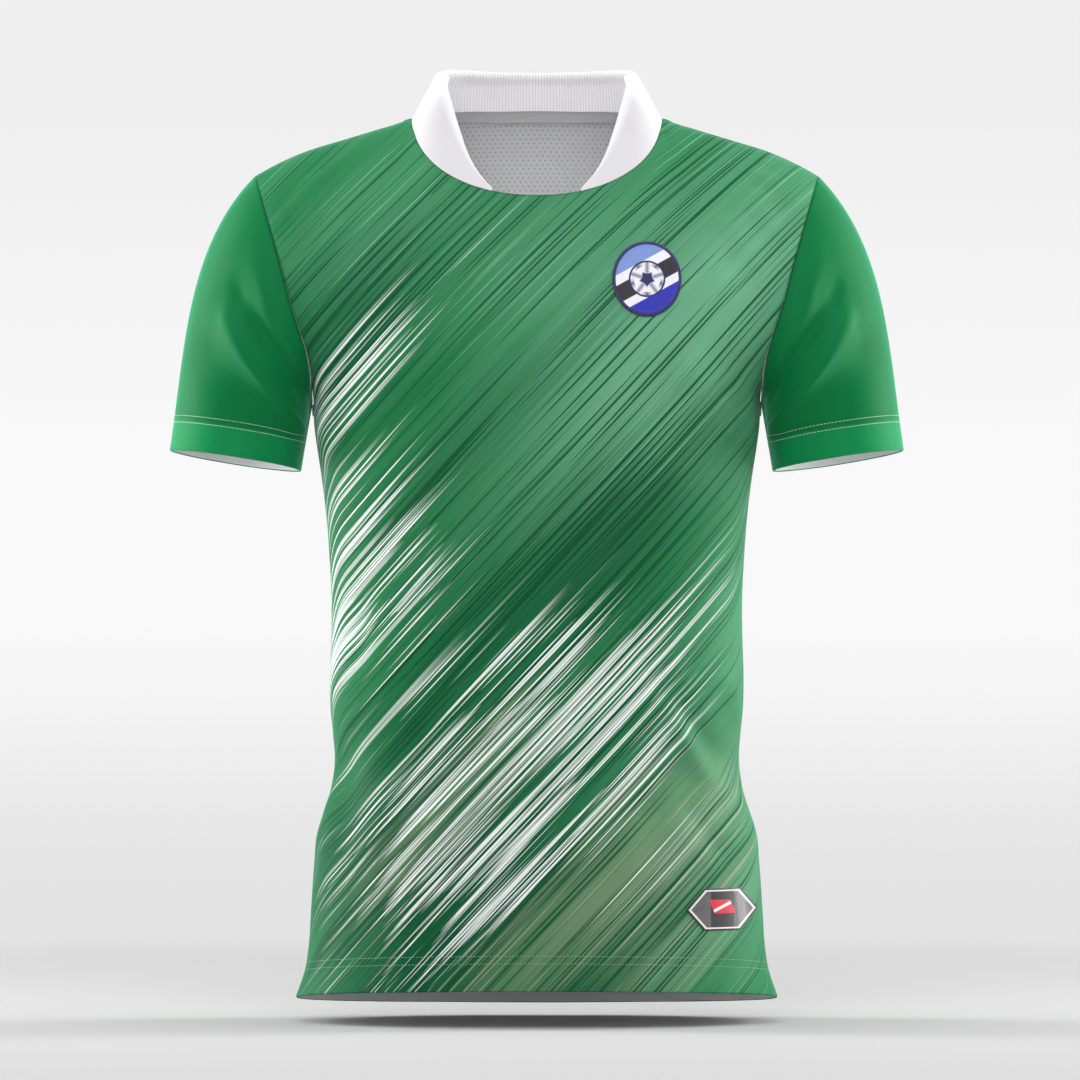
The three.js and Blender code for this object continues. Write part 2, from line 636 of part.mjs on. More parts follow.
const solids = await Module();
solids.setup();
const jersey = new THREE.Group();

function piece(name, geometry, colour, roughness) {
  const material = new THREE.MeshStandardMaterial({ color: colour, roughness, metalness: 0 });
  const mesh = new THREE.Mesh(geometry, material);
  mesh.name = name;
  jersey.add(mesh);
}

const PRINTED = 0x2f7f50;
const GREEN = 0x16914a;
const WHITE = 0xf1f0f1;
const GREY = 0x9a9a9a;
const BADGE_BLUE = 0x1d2fb4;
const LABEL_DARK = 0x2a2728;

Object.entries(panels).forEach(([side, { face, outwards }]) => {
  const inner = innerFace(face, outwards, hemmed((j) => j < 2));
  piece(side, wall(face, inner, false), PRINTED, 0.55);
});

const sleeveInner = innerFace(sleeve.face, sleeve.outwards, hemmed((r) => r > SLEEVE_ROWS));
[{ name: "sleeve_left", sign: 1 }, { name: "sleeve_right", sign: -1 }].forEach(({ name, sign }) => {
  const turned = (rows) => rows.map((row) => row.map((p) => new THREE.Vector3(sign * p.x, p.y, p.z)));
  piece(name, wall(turned(sleeve.face), turned(sleeveInner), true), GREEN, 0.5);
});

piece("collar", collar(neckSeam()), WHITE, 0.7);
piece("neck_tape", neckTape(), GREY, 0.8);
piece("crest_patch", patch(crestOutline(CREST)), BADGE_BLUE, 0.6);
const hemOutline = HEM_PATCH_OUTLINE.map(({ u, v }) => [HEM_PATCH.x + u, HEM_PATCH.z + v]);
piece("hem_patch", patch(hemOutline), LABEL_DARK, 0.6);

export default jersey;
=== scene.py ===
"""A short-sleeved football jersey, hollow as it is when worn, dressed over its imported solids."""
import logging
import math
from dataclasses import dataclass, field
from enum import Enum
from typing import Any, Iterable, Sequence

import bpy
import numpy as np
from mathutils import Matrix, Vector
from mathutils.bvhtree import BVHTree


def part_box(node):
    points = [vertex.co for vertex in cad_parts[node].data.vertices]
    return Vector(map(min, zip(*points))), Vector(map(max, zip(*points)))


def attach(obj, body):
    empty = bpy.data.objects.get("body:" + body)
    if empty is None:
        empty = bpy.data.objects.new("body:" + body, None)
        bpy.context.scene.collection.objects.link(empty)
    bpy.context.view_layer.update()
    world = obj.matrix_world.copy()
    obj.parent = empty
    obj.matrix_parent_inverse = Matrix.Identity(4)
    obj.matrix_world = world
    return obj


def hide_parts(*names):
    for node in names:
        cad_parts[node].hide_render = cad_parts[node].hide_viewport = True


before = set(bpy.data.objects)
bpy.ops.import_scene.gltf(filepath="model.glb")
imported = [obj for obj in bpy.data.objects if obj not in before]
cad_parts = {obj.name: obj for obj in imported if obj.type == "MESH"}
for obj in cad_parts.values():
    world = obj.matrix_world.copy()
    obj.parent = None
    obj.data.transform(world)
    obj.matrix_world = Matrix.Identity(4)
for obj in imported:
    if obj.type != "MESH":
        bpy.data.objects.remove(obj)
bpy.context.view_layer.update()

MM = 0.001
log = logging.getLogger("jersey")

# Driving sizes of the cloth, in millimetres, and angles, in degrees
KNIT = 0.9
HEM_KNIT = 1.8
HEM_TURN = 24.0
HEM_LINE = 22.5
EDGE_ANGLE = 50.0
TAPE_EDGE_ANGLE = 45.0
PRINT_RISE = 46.5
KNIT_LOOP = (0.85, 0.62)
HEM_STITCHES = (21.3, 27.3)
CUFF_STITCHES = (21.7, 27.0)
SEAM_HALF = 0.17
SEAM_DIP = 0.45
SEAM_DIP_REACH = 1.1
EDGE_MARKS = (0.6, 1.3, 2.4, 4.2)


def linear(red: int, green: int, blue: int) -> tuple[float, float, float, float]:
    """Turns a screen colour from 0 to 255 into the linear one that a shader takes.

    Args:
        red: the red part.
        green: the green part.
        blue: the blue part.

    Returns:
        The linear colour with full cover.
    """
    parts = [c / 255 for c in (red, green, blue)]
    return (*[c / 12.92 if c <= 0.04045 else ((c + 0.055) / 1.055) ** 2.4 for c in parts], 1.0)


def unit(vectors: np.ndarray) -> np.ndarray:
    """Returns the vectors at length one."""
    return vectors / np.maximum(np.linalg.norm(vectors, axis=-1, keepdims=True), 1e-12)


def quads_of(number: np.ndarray) -> np.ndarray:
    """Returns the four-sided faces of a net of point numbers."""
    corners = (number[:-1, :-1], number[:-1, 1:], number[1:, 1:], number[1:, :-1])
    return np.stack(corners, -1).reshape(-1, 4)


def numbers_of(rows: int, columns: int, closed: bool = False) -> np.ndarray:
    """Numbers a net's points.

    Args:
        rows: how many rows it has.
        columns: how many points a row has.
        closed: whether a row closes on itself.

    Returns:
        The numbers, row by row, with the first again at the end of a closed row.
    """
    number = np.arange(rows * columns).reshape(rows, columns)
    return np.concatenate([number, number[:, :1]], axis=1) if closed else number


class Value:
    """A shader socket that takes part in sums."""

    def __init__(self, shader: "Shader", socket: bpy.types.NodeSocket) -> None:
        """Keeps the socket and the shader that it belongs to."""
        self.shader = shader
        self.socket = socket

    def _sum(self, operation: str, *values: Any, clamp: bool = False) -> "Value":
        """Adds one Math node.

        Args:
            operation: the Math node's operation.
            values: its inputs in order.
            clamp: whether the result is kept from 0 to 1.

        Returns:
            The result.
        """
        settings = {"operation": operation, "use_clamp": clamp}
        return self.shader.node("ShaderNodeMath", settings, dict(enumerate(values)))

    def __add__(self, other: Any) -> "Value":
        """Returns the sum."""
        return self._sum("ADD", self, other)

    def __radd__(self, other: Any) -> "Value":
        """Returns the sum, the other way round."""
        return self._sum("ADD", other, self)

    def __sub__(self, other: Any) -> "Value":
        """Returns the difference."""
        return self._sum("SUBTRACT", self, other)

    def __rsub__(self, other: Any) -> "Value":
        """Returns the difference, the other way round."""
        return self._sum("SUBTRACT", other, self)

    def __mul__(self, other: Any) -> "Value":
        """Returns the product."""
        return self._sum("MULTIPLY", self, other)

    def __rmul__(self, other: Any) -> "Value":
        """Returns the product, the other way round."""
        return self._sum("MULTIPLY", other, self)

    def __truediv__(self, other: Any) -> "Value":
        """Returns the quotient."""
        return self._sum("DIVIDE", self, other)

    def __rtruediv__(self, other: Any) -> "Value":
        """Returns the quotient, the other way round."""
        return self._sum("DIVIDE", other, self)

    def least(self, other: Any) -> "Value":
        """Returns the smaller of the two."""
        return self._sum("MINIMUM", self, other)

    def most(self, other: Any) -> "Value":
        """Returns the larger of the two."""
        return self._sum("MAXIMUM", self, other)

    def size(self) -> "Value":
        """Returns the value without its sign."""
        return self._sum("ABSOLUTE", self)

    def floor(self) -> "Value":
        """Returns the whole number below."""
        return self._sum("FLOOR", self)

    def part(self) -> "Value":
        """Returns what is over the whole number below."""
        return self._sum("FRACT", self)

    def wave(self) -> "Value":
        """Returns the sine."""
        return self._sum("SINE", self)

    def power(self, exponent: float) -> "Value":
        """Returns the value raised to an exponent."""
        return self._sum("POWER", self, exponent)

    def held(self) -> "Value":
        """Returns the value kept from 0 to 1."""
        return self._sum("ADD", self, 0.0, clamp=True)

    def from_to(self, low: float, high: float) -> "Value":
        """Returns 0 below low, 1 above high, and a straight rise between them."""
        return ((self - low) / (high - low)).held()

    def band(self, centre: float, half: float) -> "Value":
        """Returns 1 at the centre, falling to 0 at half a width on each side."""
        return (1 - (self - centre).size() / half).held()


class Shader:
    """One material's nodes, with a Principled shader at the end."""

    def __init__(self, name: str) -> None:
        """Starts a material with an empty node tree.

        Args:
            name: the material's name.
        """
        self.material = bpy.data.materials.new(name)
        self.material.use_nodes = True
        self.tree = self.material.node_tree
        self.tree.nodes.clear()
        self.cloth = self.tree.nodes.new("ShaderNodeBsdfPrincipled")
        out = self.tree.nodes.new("ShaderNodeOutputMaterial")
        self.tree.links.new(self.cloth.outputs["BSDF"], out.inputs["Surface"])

    def node(
        self,
        kind: str,
        settings: dict[str, Any] | None = None,
        inputs: dict[Any, Any] | None = None,
        output: Any = 0,
    ) -> Value:
        """Adds one node.

        Args:
            kind: the node's type.
            settings: its own settings, set first.
            inputs: values or links, by socket name or number.
            output: the output that is wanted.

        Returns:
            That output.
        """
        made = self.tree.nodes.new(kind)
        for key, value in (settings or {}).items():
            if key == "stops":
                ramp = made.color_ramp.elements
                while len(ramp) < len(value):
                    ramp.new(1.0)
                for stop, (place, colour) in zip(ramp, value):
                    stop.position, stop.color = place, colour
            else:
                setattr(made, key, value)
        for key, value in (inputs or {}).items():
            self.feed(made.inputs[key], value)
        return Value(self, made.outputs[output])

    def feed(self, socket: bpy.types.NodeSocket, value: Any) -> None:
        """Links or sets one input socket."""
        if isinstance(value, Value):
            self.tree.links.new(value.socket, socket)
        else:
            socket.default_value = value

    def of(self, value: Value, output: Any) -> Value:
        """Returns another output of the node that a value comes from."""
        return Value(self, value.socket.node.outputs[output])

    def mix(self, share: Any, under: Any, over: Any) -> Value:
        """Mixes two colours.

        Args:
            share: how much of the second shows.
            under: the first colour.
            over: the second colour.

        Returns:
            The mixed colour.
        """
        made = self.tree.nodes.new("ShaderNodeMix")
        made.data_type = "RGBA"
        colours = [s for s in made.inputs if s.type == "RGBA"]
        self.feed(made.inputs[0], share)
        self.feed(colours[0], under)
        self.feed(colours[1], over)
        return Value(self, next(s for s in made.outputs if s.type == "RGBA"))

    def cut(self) -> tuple[Value, Value, Value]:
        """Returns the cloth's own place, across and up, and the way to its nearest edge, in millimetres."""
        read = self.node("ShaderNodeAttribute", {"attribute_name": "cut"}, output="Vector")
        parts = self.node("ShaderNodeSeparateXYZ", inputs={0: read})
        return parts, self.of(parts, "Y"), self.of(parts, "Z")

    def point(self, x: Any, y: Any, z: Any = 0.0) -> Value:
        """Returns a vector from three values."""
        return self.node("ShaderNodeCombineXYZ", inputs={0: x, 1: y, 2: z})

    def noise(self, place: Value, scale: float, detail: float = 2.0, roughness: float = 0.5) -> Value:
        """Returns soft noise from 0 to 1 at a place.

        Args:
            place: the place, as a vector.
            scale: how many humps there are to one unit.
            detail: how many finer layers it has.
            roughness: how strong the finer layers are.

        Returns:
            The noise.
        """
        inputs = {"Vector": place, "Scale": scale, "Detail": detail, "Roughness": roughness}
        return self.node("ShaderNodeTexNoise", {"noise_dimensions": "3D"}, inputs, "Fac")

    def bump(self, height: Value, strength: float, distance: float, under: Value | None = None) -> Value:
        """Returns a normal that is tilted by a height.

        Args:
            height: the height, about 0 to 1.
            strength: how much of it shows.
            distance: how high 1 stands, in metres.
            under: another bump below this one.

        Returns:
            The normal.
        """
        inputs = {"Strength": strength, "Distance": distance, "Height": height}
        if under is not None:
            inputs["Normal"] = under
        return self.node("ShaderNodeBump", {}, inputs, "Normal")

    def dress(self, **sockets: Any) -> bpy.types.Material:
        """Sets the shader's sockets.

        Args:
            sockets: values or links, by the socket's name with _ for a space.

        Returns:
            The finished material.
        """
        for key, value in sockets.items():
            self.feed(self.cloth.inputs[key.replace("_", " ")], value)
        return self.material


def knit_height(across: Value, up: Value, wale: float, course: float) -> Value:
    """Draws the small loops of a knit as a height.

    Args:
        across: millimetres across the cloth.
        up: millimetres up the cloth.
        wale: the width of a loop.
        course: the height of a loop.

    Returns:
        The height, from 0 to 1.
    """
    column = (across * (math.tau / wale)).wave()
    lean = (across * (math.tau / wale / 2)).wave().size() * 0.5
    row = ((up / course + lean) * math.tau).wave()
    return column * 0.3 + row * 0.2 + 0.5


class Tone(Enum):
    """The colours that the print's strokes come in, by their place in the shares."""

    WHITE = 0
    DARK = 1
    LIGHT = 2
    KHAKI = 3


@dataclass(frozen=True)
class Burst:
    """A cluster of strokes of one tone, longest along the print's rise.

    Attributes:
        tone: the strokes' colour.
        across: its middle across the panel, in millimetres.
        up: its middle up the panel, in millimetres from the neck point.
        long: half its length along the rise.
        wide: half its width.
        share: how much of the cloth its strokes cover in the middle.
    """

    tone: Tone
    across: float
    up: float
    long: float
    wide: float
    share: float

    def share_at(self, cut: np.ndarray) -> np.ndarray:
        """Returns the share of strokes at places in the cloth's own millimetres.

        Args:
            cut: the places.

        Returns:
            The share at each, falling off softly to the sides.
        """
        rise = math.radians(PRINT_RISE)
        right = cut[..., 0] - self.across
        high = cut[..., 1] - self.up
        along = (right * math.cos(rise) + high * math.sin(rise)) / self.long
        aside = (high * math.cos(rise) - right * math.sin(rise)) / self.wide
        return self.share * np.exp(-(along**2) - aside**2)


@dataclass(frozen=True)
class Crease:
    """One soft trough or ridge, by its two ends in the cloth's own millimetres.

    Attributes:
        start: its first end, across and up.
        end: its second end, across and up.
        width: half its width.
        height: how far it stands out, or in where it is negative.
    """

    start: tuple[float, float]
    end: tuple[float, float]
    width: float
    height: float

    def lift(self, cut: np.ndarray) -> np.ndarray:
        """Returns how far the crease moves each place.

        Args:
            cut: places in the cloth's own millimetres.

        Returns:
            The move along the normal, in millimetres.
        """
        start = np.array(self.start)
        run = np.array(self.end) - start
        away = cut[..., :2] - start
        along = np.clip(away @ run / (run @ run), 0, 1)
        gap = np.linalg.norm(away - along[..., None] * run, axis=-1)
        taper = 0.25 + 0.75 * np.sin(math.pi * along) ** 0.8
        return self.height * taper * np.exp(-((gap / self.width) ** 2))


class Wall:
    """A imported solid, welded, whose faces are walked as the regular net that they form."""

    WELD = 5e-7

    def __init__(self, node: bpy.types.Object) -> None:
        """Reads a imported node's triangles.

        Args:
            node: the node's object.
        """
        mesh = node.data
        points = np.empty(len(mesh.vertices) * 3)
        mesh.vertices.foreach_get("co", points)
        points = points.reshape(-1, 3)
        keys = np.round(points / self.WELD).astype(np.int64)
        _, first, back = np.unique(keys, axis=0, return_index=True, return_inverse=True)
        self.points = points[first]
        self.triangles = back.reshape(-1)[np.array([tuple(p.vertices) for p in mesh.polygons])]
        self.at_edge: dict[frozenset, list[int]] = {}
        for number, (a, b, c) in enumerate(self.triangles.tolist()):
            for pair in ((a, b), (b, c), (c, a)):
                self.at_edge.setdefault(frozenset(pair), []).append(number)

    def face_towards(self, facing: Sequence[float], sharp: float) -> set[int]:
        """Gathers the face that looks one way, up to its sharp edges.

        Args:
            facing: the way that it looks.
            sharp: the angle in degrees that ends the face.

        Returns:
            The numbers of its triangles.
        """
        corners = self.points[self.triangles]
        normals = unit(np.cross(corners[:, 1] - corners[:, 0], corners[:, 2] - corners[:, 0]))
        ahead = corners.mean(1) @ np.array(facing)
        ahead[normals @ np.array(facing) < 0.9] = -9
        near: dict[int, list[int]] = {}
        for pair in self.at_edge.values():
            if len(pair) == 2 and normals[pair[0]] @ normals[pair[1]] > math.cos(math.radians(sharp)):
                near.setdefault(pair[0], []).append(pair[1])
                near.setdefault(pair[1], []).append(pair[0])
        found = {int(np.argmax(ahead))}
        waiting = list(found)
        while waiting:
            for other in near.get(waiting.pop(), []):
                if other not in found:
                    found.add(other)
                    waiting.append(other)
        reached = np.unique(self.triangles[list(found)])
        return set(np.flatnonzero(np.isin(self.triangles, reached).all(1)).tolist())

    def border(self, face: set[int]) -> list[list[int]]:
        """Returns the loops of points round a face.

        Args:
            face: the numbers of its triangles.

        Returns:
            Each loop's points in order.
        """
        after: dict[int, int] = {}
        for number in face:
            a, b, c = self.triangles[number].tolist()
            for start, end in ((a, b), (b, c), (c, a)):
                if len(face.intersection(self.at_edge[frozenset((start, end))])) == 1:
                    after[start] = end
        loops = []
        while after:
            loop = [next(iter(after))]
            while after.get(loop[-1]) is not None:
                loop.append(after.pop(loop[-1]))
            loops.append(loop[:-1] if loop[0] == loop[-1] else loop)
        return loops

    def third(self, a: int, b: int, avoid: set[int]) -> int:
        """Returns the point across an edge that isn't one to avoid."""
        for number in self.at_edge[frozenset((a, b))]:
            point = next(p for p in self.triangles[number].tolist() if p not in (a, b))
            if point not in avoid:
                return point
        raise ValueError("the wall has no regular net here")

    def net(self, first: list[int], count: int, avoid: set[int], closed: bool) -> np.ndarray:
        """Walks the net row by row.

        Args:
            first: the first row's points.
            count: how many rows there are.
            avoid: points behind the first row.
            closed: whether a row closes on itself.

        Returns:
            The numbers of the net's points, a row for each.
        """
        rows = [list(first)]
        for _ in range(count - 1):
            low = rows[-1]
            ends = low[1:] + low[:1] if closed else low[1:]
            high = [self.third(a, b, avoid) for a, b in zip(low, ends)]
            here = self.points[low[: len(high)]]
            ahead = self.points[ends]
            there = self.points[high]
            leans = np.linalg.norm(there - ahead, axis=1).sum() < np.linalg.norm(there - here, axis=1).sum()
            if closed:
                high = high[-1:] + high[:-1] if leans else high
            elif leans:
                high = [self.third(low[0], high[0], {low[1]}), *high]
            else:
                high = [*high, self.third(low[-1], high[-1], {low[-2]})]
            rows.append(high)
            avoid = set(low)
        return np.array(rows)


    def open_net(
        self, facing: Sequence[float], rows: int, columns: int, sharp: float, hang: float
    ) -> np.ndarray:
        """Walks the net of a face whose lowest border row runs from left to right.

        Args:
            facing: the way that the face looks.
            rows: how many rows it has.
            columns: how many points a row has.
            sharp: the angle in degrees that ends the face.
            hang: how much a point's depth counts against it as a low corner.

        Returns:
            The net's points in millimetres.
        """
        face = self.face_towards(facing, sharp)
        loop = max(self.border(face), key=len)
        x, y, z = self.points[loop].T
        low = z + hang * np.abs(y)
        start, end = int(np.argmin(x + low)), int(np.argmax(x - low))
        ahead = [loop[(start + k) % len(loop)] for k in range(columns)]
        behind = [loop[(start - k) % len(loop)] for k in range(columns)]
        first = ahead if ahead[-1] == loop[end] else behind
        others = set(range(len(self.points))) - set(self.triangles[list(face)].ravel().tolist())
        return self.points[self.net(first, rows, others, closed=False)] / MM


def smooth_through(points: np.ndarray, knots: np.ndarray, at: np.ndarray) -> np.ndarray:
    """Draws smooth curves through rows of points.

    Args:
        points: the rows, the curves run from row to row.
        knots: the place of each row along the curves.
        at: the places that are wanted.

    Returns:
        The curves' points at those places.
    """
    steps = np.diff(points, axis=0)
    spans = np.maximum(np.linalg.norm(steps, axis=-1, keepdims=True), 1e-9)
    ways = steps / spans
    turns = (ways[:-1] * spans[1:] + ways[1:] * spans[:-1]) / (spans[1:] + spans[:-1])
    slopes = np.concatenate([ways[:1], turns, ways[-1:]])
    low = np.clip(np.searchsorted(knots, at, "right") - 1, 0, len(knots) - 2)
    t = ((at - knots[low]) / (knots[low + 1] - knots[low])).reshape(-1, *[1] * (points.ndim - 1))
    start, end = points[low], points[low + 1]
    rise, fall = slopes[low] * spans[low], slopes[low + 1] * spans[low]
    return (
        start * (2 * t**3 - 3 * t**2 + 1)
        + rise * (t**3 - 2 * t**2 + t)
        + end * (3 * t**2 - 2 * t**3)
        + fall * (t**3 - t**2)
    )


def places(knots: np.ndarray, step: float, edges: Sequence[float] = ()) -> np.ndarray:
    """Divides a run of knots into even steps.

    Args:
        knots: the knots along the run, in millimetres.
        step: the longest step between two places.
        edges: further places counted from each end of the run.

    Returns:
        All places in order.
    """
    found = [knots[-1]]
    for start, end in zip(knots[:-1], knots[1:]):
        found.extend(np.linspace(start, end, max(1, math.ceil((end - start) / step)), endpoint=False))
    inner = [p for p in sorted(found) if not edges or edges[-1] + 1 < p < knots[-1] - edges[-1] - 1]
    ends = [knots[0], *[knots[0] + e for e in edges], *[knots[-1] - e for e in edges], knots[-1]]
    return np.array(sorted({*inner, *ends}))


class Cloth:
    """A fine net on a cloth's outer face, in millimetres, that thin shells are made from."""

    def __init__(self, points: np.ndarray, closed: bool, middle: np.ndarray) -> None:
        """Keeps the net and finds its outward side.

        Args:
            points: the net, rows by columns by three.
            closed: whether a row closes on itself.
            middle: a point inside for each row, which the net faces away from.
        """
        self.points = points
        self.closed = closed
        self.side = 1.0
        self.cut = np.zeros_like(points)
        self.shares = np.zeros((*points.shape[:2], 4))
        if (self.normals() * (points - middle)).sum() < 0:
            self.side = -1.0

    def normals(self) -> np.ndarray:
        """Returns the outward normal at each point."""
        if self.closed:
            round_ = np.roll(self.points, -1, axis=1) - np.roll(self.points, 1, axis=1)
        else:
            round_ = np.gradient(self.points, axis=1)
        return self.side * unit(np.cross(round_, np.gradient(self.points, axis=0)))

    def lengths(self, axis: int) -> np.ndarray:
        """Returns how far each point is along its row or column, from its start."""
        steps = np.linalg.norm(np.diff(self.points, axis=axis), axis=-1)
        pad = [(0, 0), (0, 0)]
        pad[axis] = (1, 0)
        return np.pad(np.cumsum(steps, axis=axis), pad)

    def move(self, distance: np.ndarray) -> None:
        """Moves the net along its normals."""
        self.points = self.points + self.normals() * distance[..., None]

    def edge_way(self, sides: Iterable[str]) -> np.ndarray:
        """Returns how far each point is from the nearest of some edges.

        Args:
            sides: names of the edges, out of first, last, low and high.

        Returns:
            The way in millimetres, 99 where there is none.
        """
        along, up = self.lengths(1), self.lengths(0)
        ways = {
            "first": along,
            "last": along[:, -1:] - along,
            "low": up,
            "high": up[-1:] - up,
        }
        return np.min([np.full(along.shape, 99.0), *[ways[s] for s in sides]], axis=0)

    def rims(self) -> list[tuple[np.ndarray, np.ndarray]]:
        """Returns each border as the numbers of its points and the ways out of the cloth."""
        rows, columns = self.points.shape[:2]
        number = numbers_of(rows, columns)
        down = self.points[0] - self.points[1]
        up = self.points[-1] - self.points[-2]
        if self.closed:
            return [(number[0], unit(down)), (number[-1][::-1], unit(up)[::-1])]
        right = self.points[:, -1] - self.points[:, -2]
        left = self.points[:, 0] - self.points[:, 1]
        chain = np.concatenate([number[0], number[1:, -1], number[-1, -2::-1], number[-2:0:-1, 0]])
        ways = [unit(down), unit(right[1:]), unit(up)[-2::-1], unit(left)[-2:0:-1]]
        out = np.concatenate(ways)
        for corner, other in ((0, left[0]), (columns - 1, right[0]), (columns + rows - 2, up[-1])):
            out[corner] = unit(out[corner] + unit(other))
        out[2 * columns + rows - 3] = unit(up[0] + left[-1])
        return [(chain, out)]

    def shell(
        self, name: str, thick: np.ndarray, finishes: Sequence[bpy.types.Material], turn: float = 0.0
    ) -> bpy.types.Object:
        """Builds the cloth as a closed thin shell with rounded edges.

        Args:
            name: the piece's name.
            thick: its thickness at each point, in millimetres.
            finishes: the outer and the inner material, and the one of a turned hem.
            turn: how wide the turned hem is.

        Returns:
            The piece.
        """
        rows, columns = self.points.shape[:2]
        total = rows * columns
        outer = self.points.reshape(-1, 3)
        inner = (self.points - self.normals() * thick[..., None]).reshape(-1, 3)
        quads = quads_of(numbers_of(rows, columns, self.closed))
        points = [outer, inner]
        faces = [quads, quads[:, ::-1] + total]
        source = [np.arange(total), np.arange(total)]
        count = 2 * total
        for chain, out in self.rims():
            middle = (outer[chain] + inner[chain]) / 2
            half = (outer[chain] - inner[chain]) / 2
            rings = [chain]
            for angle in (math.radians(60), math.radians(120)):
                reach = np.linalg.norm(half, axis=1, keepdims=True) * math.sin(angle)
                points.append(middle + half * math.cos(angle) + out * reach)
                source.append(chain)
                rings.append(np.arange(count, count + len(chain)))
                count += len(chain)
            rings.append(chain + total)
            for near, far in zip(rings[:-1], rings[1:]):
                ahead, beyond = np.roll(near, -1), np.roll(far, -1)
                faces.append(np.stack([ahead, near, far, beyond], -1))
        faces = np.concatenate(faces)
        if self.side < 0:
            faces = faces[:, ::-1]
        source = np.concatenate(source)
        slots = np.zeros(len(faces), dtype=np.int32)
        ways = self.lengths(0)[1:] if self.closed else self.lengths(0)[1:, 1:]
        slots[len(quads) : 2 * len(quads)] = np.where(ways.ravel() < turn, 2, 1)
        piece = make_piece(name, np.concatenate(points), faces, finishes, slots)
        write_attribute(piece, "cut", self.cut.reshape(-1, 3)[source])
        write_attribute(piece, "shares", self.shares.reshape(-1, 4)[source])
        return piece

    def settle_creases(self, creases: Sequence["Crease"], fade: float) -> None:
        """Moves the net by its creases, and in a little along its seams.

        Args:
            creases: the creases.
            fade: how far from a seam they reach their full height, in millimetres.
        """
        edge = self.cut[..., 2]
        lift = sum(c.lift(self.cut) for c in creases) * np.clip(edge / fade, 0, 1)
        self.move(lift - SEAM_DIP * np.exp(-((edge / SEAM_DIP_REACH) ** 2)))

    def hemmed(self, name: str, finishes: Sequence[bpy.types.Material]) -> bpy.types.Object:
        """Builds the cloth as a shell with its turned hem, by the finishes of its faces."""
        thick = np.where(self.lengths(0) < HEM_TURN, HEM_KNIT, KNIT)
        return self.shell(name, thick, finishes, HEM_LINE)

    def part(self, rows: slice, columns: slice, depth: float) -> "Cloth":
        """Returns a stretch of this cloth, moved inwards.

        Args:
            rows: the rows that it takes.
            columns: the columns that it takes.
            depth: how far it lies inside this net.

        Returns:
            The stretch.
        """
        moved = (self.points - self.normals() * depth)[rows, columns]
        made = Cloth(moved, False, moved.mean((0, 1)))
        made.side = self.side
        made.cut = self.cut[rows, columns]
        made.shares = self.shares[rows, columns]
        return made

    def level(self, up: float) -> tuple[np.ndarray, np.ndarray]:
        """Finds the line on the cloth at one height above its first row's edge.

        Args:
            up: the height along the cloth, in millimetres.

        Returns:
            The line's points and the normals there.
        """
        ways = self.lengths(0)
        normals = self.normals()
        points, fronts = [], []
        for column in range(self.points.shape[1]):
            row = int(np.clip(np.searchsorted(ways[:, column], up) - 1, 0, len(ways) - 2))
            start, end = ways[row, column], ways[row + 1, column]
            t = (up - start) / (end - start)
            points.append(self.points[row, column] * (1 - t) + self.points[row + 1, column] * t)
            fronts.append(normals[row, column] * (1 - t) + normals[row + 1, column] * t)
        return np.array(points), unit(np.array(fronts))


def make_piece(
    name: str,
    points: np.ndarray,
    faces: np.ndarray | list,
    finishes: Sequence[bpy.types.Material],
    slots: np.ndarray | None = None,
) -> bpy.types.Object:
    """Makes a smooth mesh object from points in millimetres.

    Args:
        name: the piece's name.
        points: its points.
        faces: its faces, by point numbers.
        finishes: its materials.
        slots: the number of each face's material.

    Returns:
        The piece.
    """
    mesh = bpy.data.meshes.new(name)
    faces = faces.tolist() if isinstance(faces, np.ndarray) else faces
    mesh.from_pydata((points * MM).tolist(), [], faces)
    for finish in finishes:
        mesh.materials.append(finish)
    if slots is not None:
        mesh.polygons.foreach_set("material_index", slots)
    mesh.polygons.foreach_set("use_smooth", np.ones(len(mesh.polygons), dtype=bool))
    mesh.update()
    piece = bpy.data.objects.new(name, mesh)
    bpy.context.scene.collection.objects.link(piece)
    return piece


def write_attribute(piece: bpy.types.Object, name: str, values: np.ndarray) -> None:
    """Writes one value for each point of a piece.

    Args:
        piece: the piece.
        name: the attribute's name.
        values: three or four numbers a point.
    """
    kind, key = ("FLOAT_VECTOR", "vector") if values.shape[1] == 3 else ("FLOAT_COLOR", "color")
    made = piece.data.attributes.new(name, kind, "POINT")
    made.data.foreach_set(key, values.astype(np.float32).ravel())


def settle(piece: bpy.types.Object, node: str | None) -> None:
    """Fixes a piece to the body and hides the solid that it stands for.

    Args:
        piece: the piece.
        node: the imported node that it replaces, if it replaces one.
    """
    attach(piece, "root")
    if node:
        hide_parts(node)
    triangles = sum(len(p.vertices) - 2 for p in piece.data.polygons)
    corners = np.array([tuple(corner) for corner in piece.bound_box])
    low, high = corners.min(0).round(4), corners.max(0).round(4)
    log.info("%s: %d triangles, from %s to %s m", piece.name, triangles, low, high)


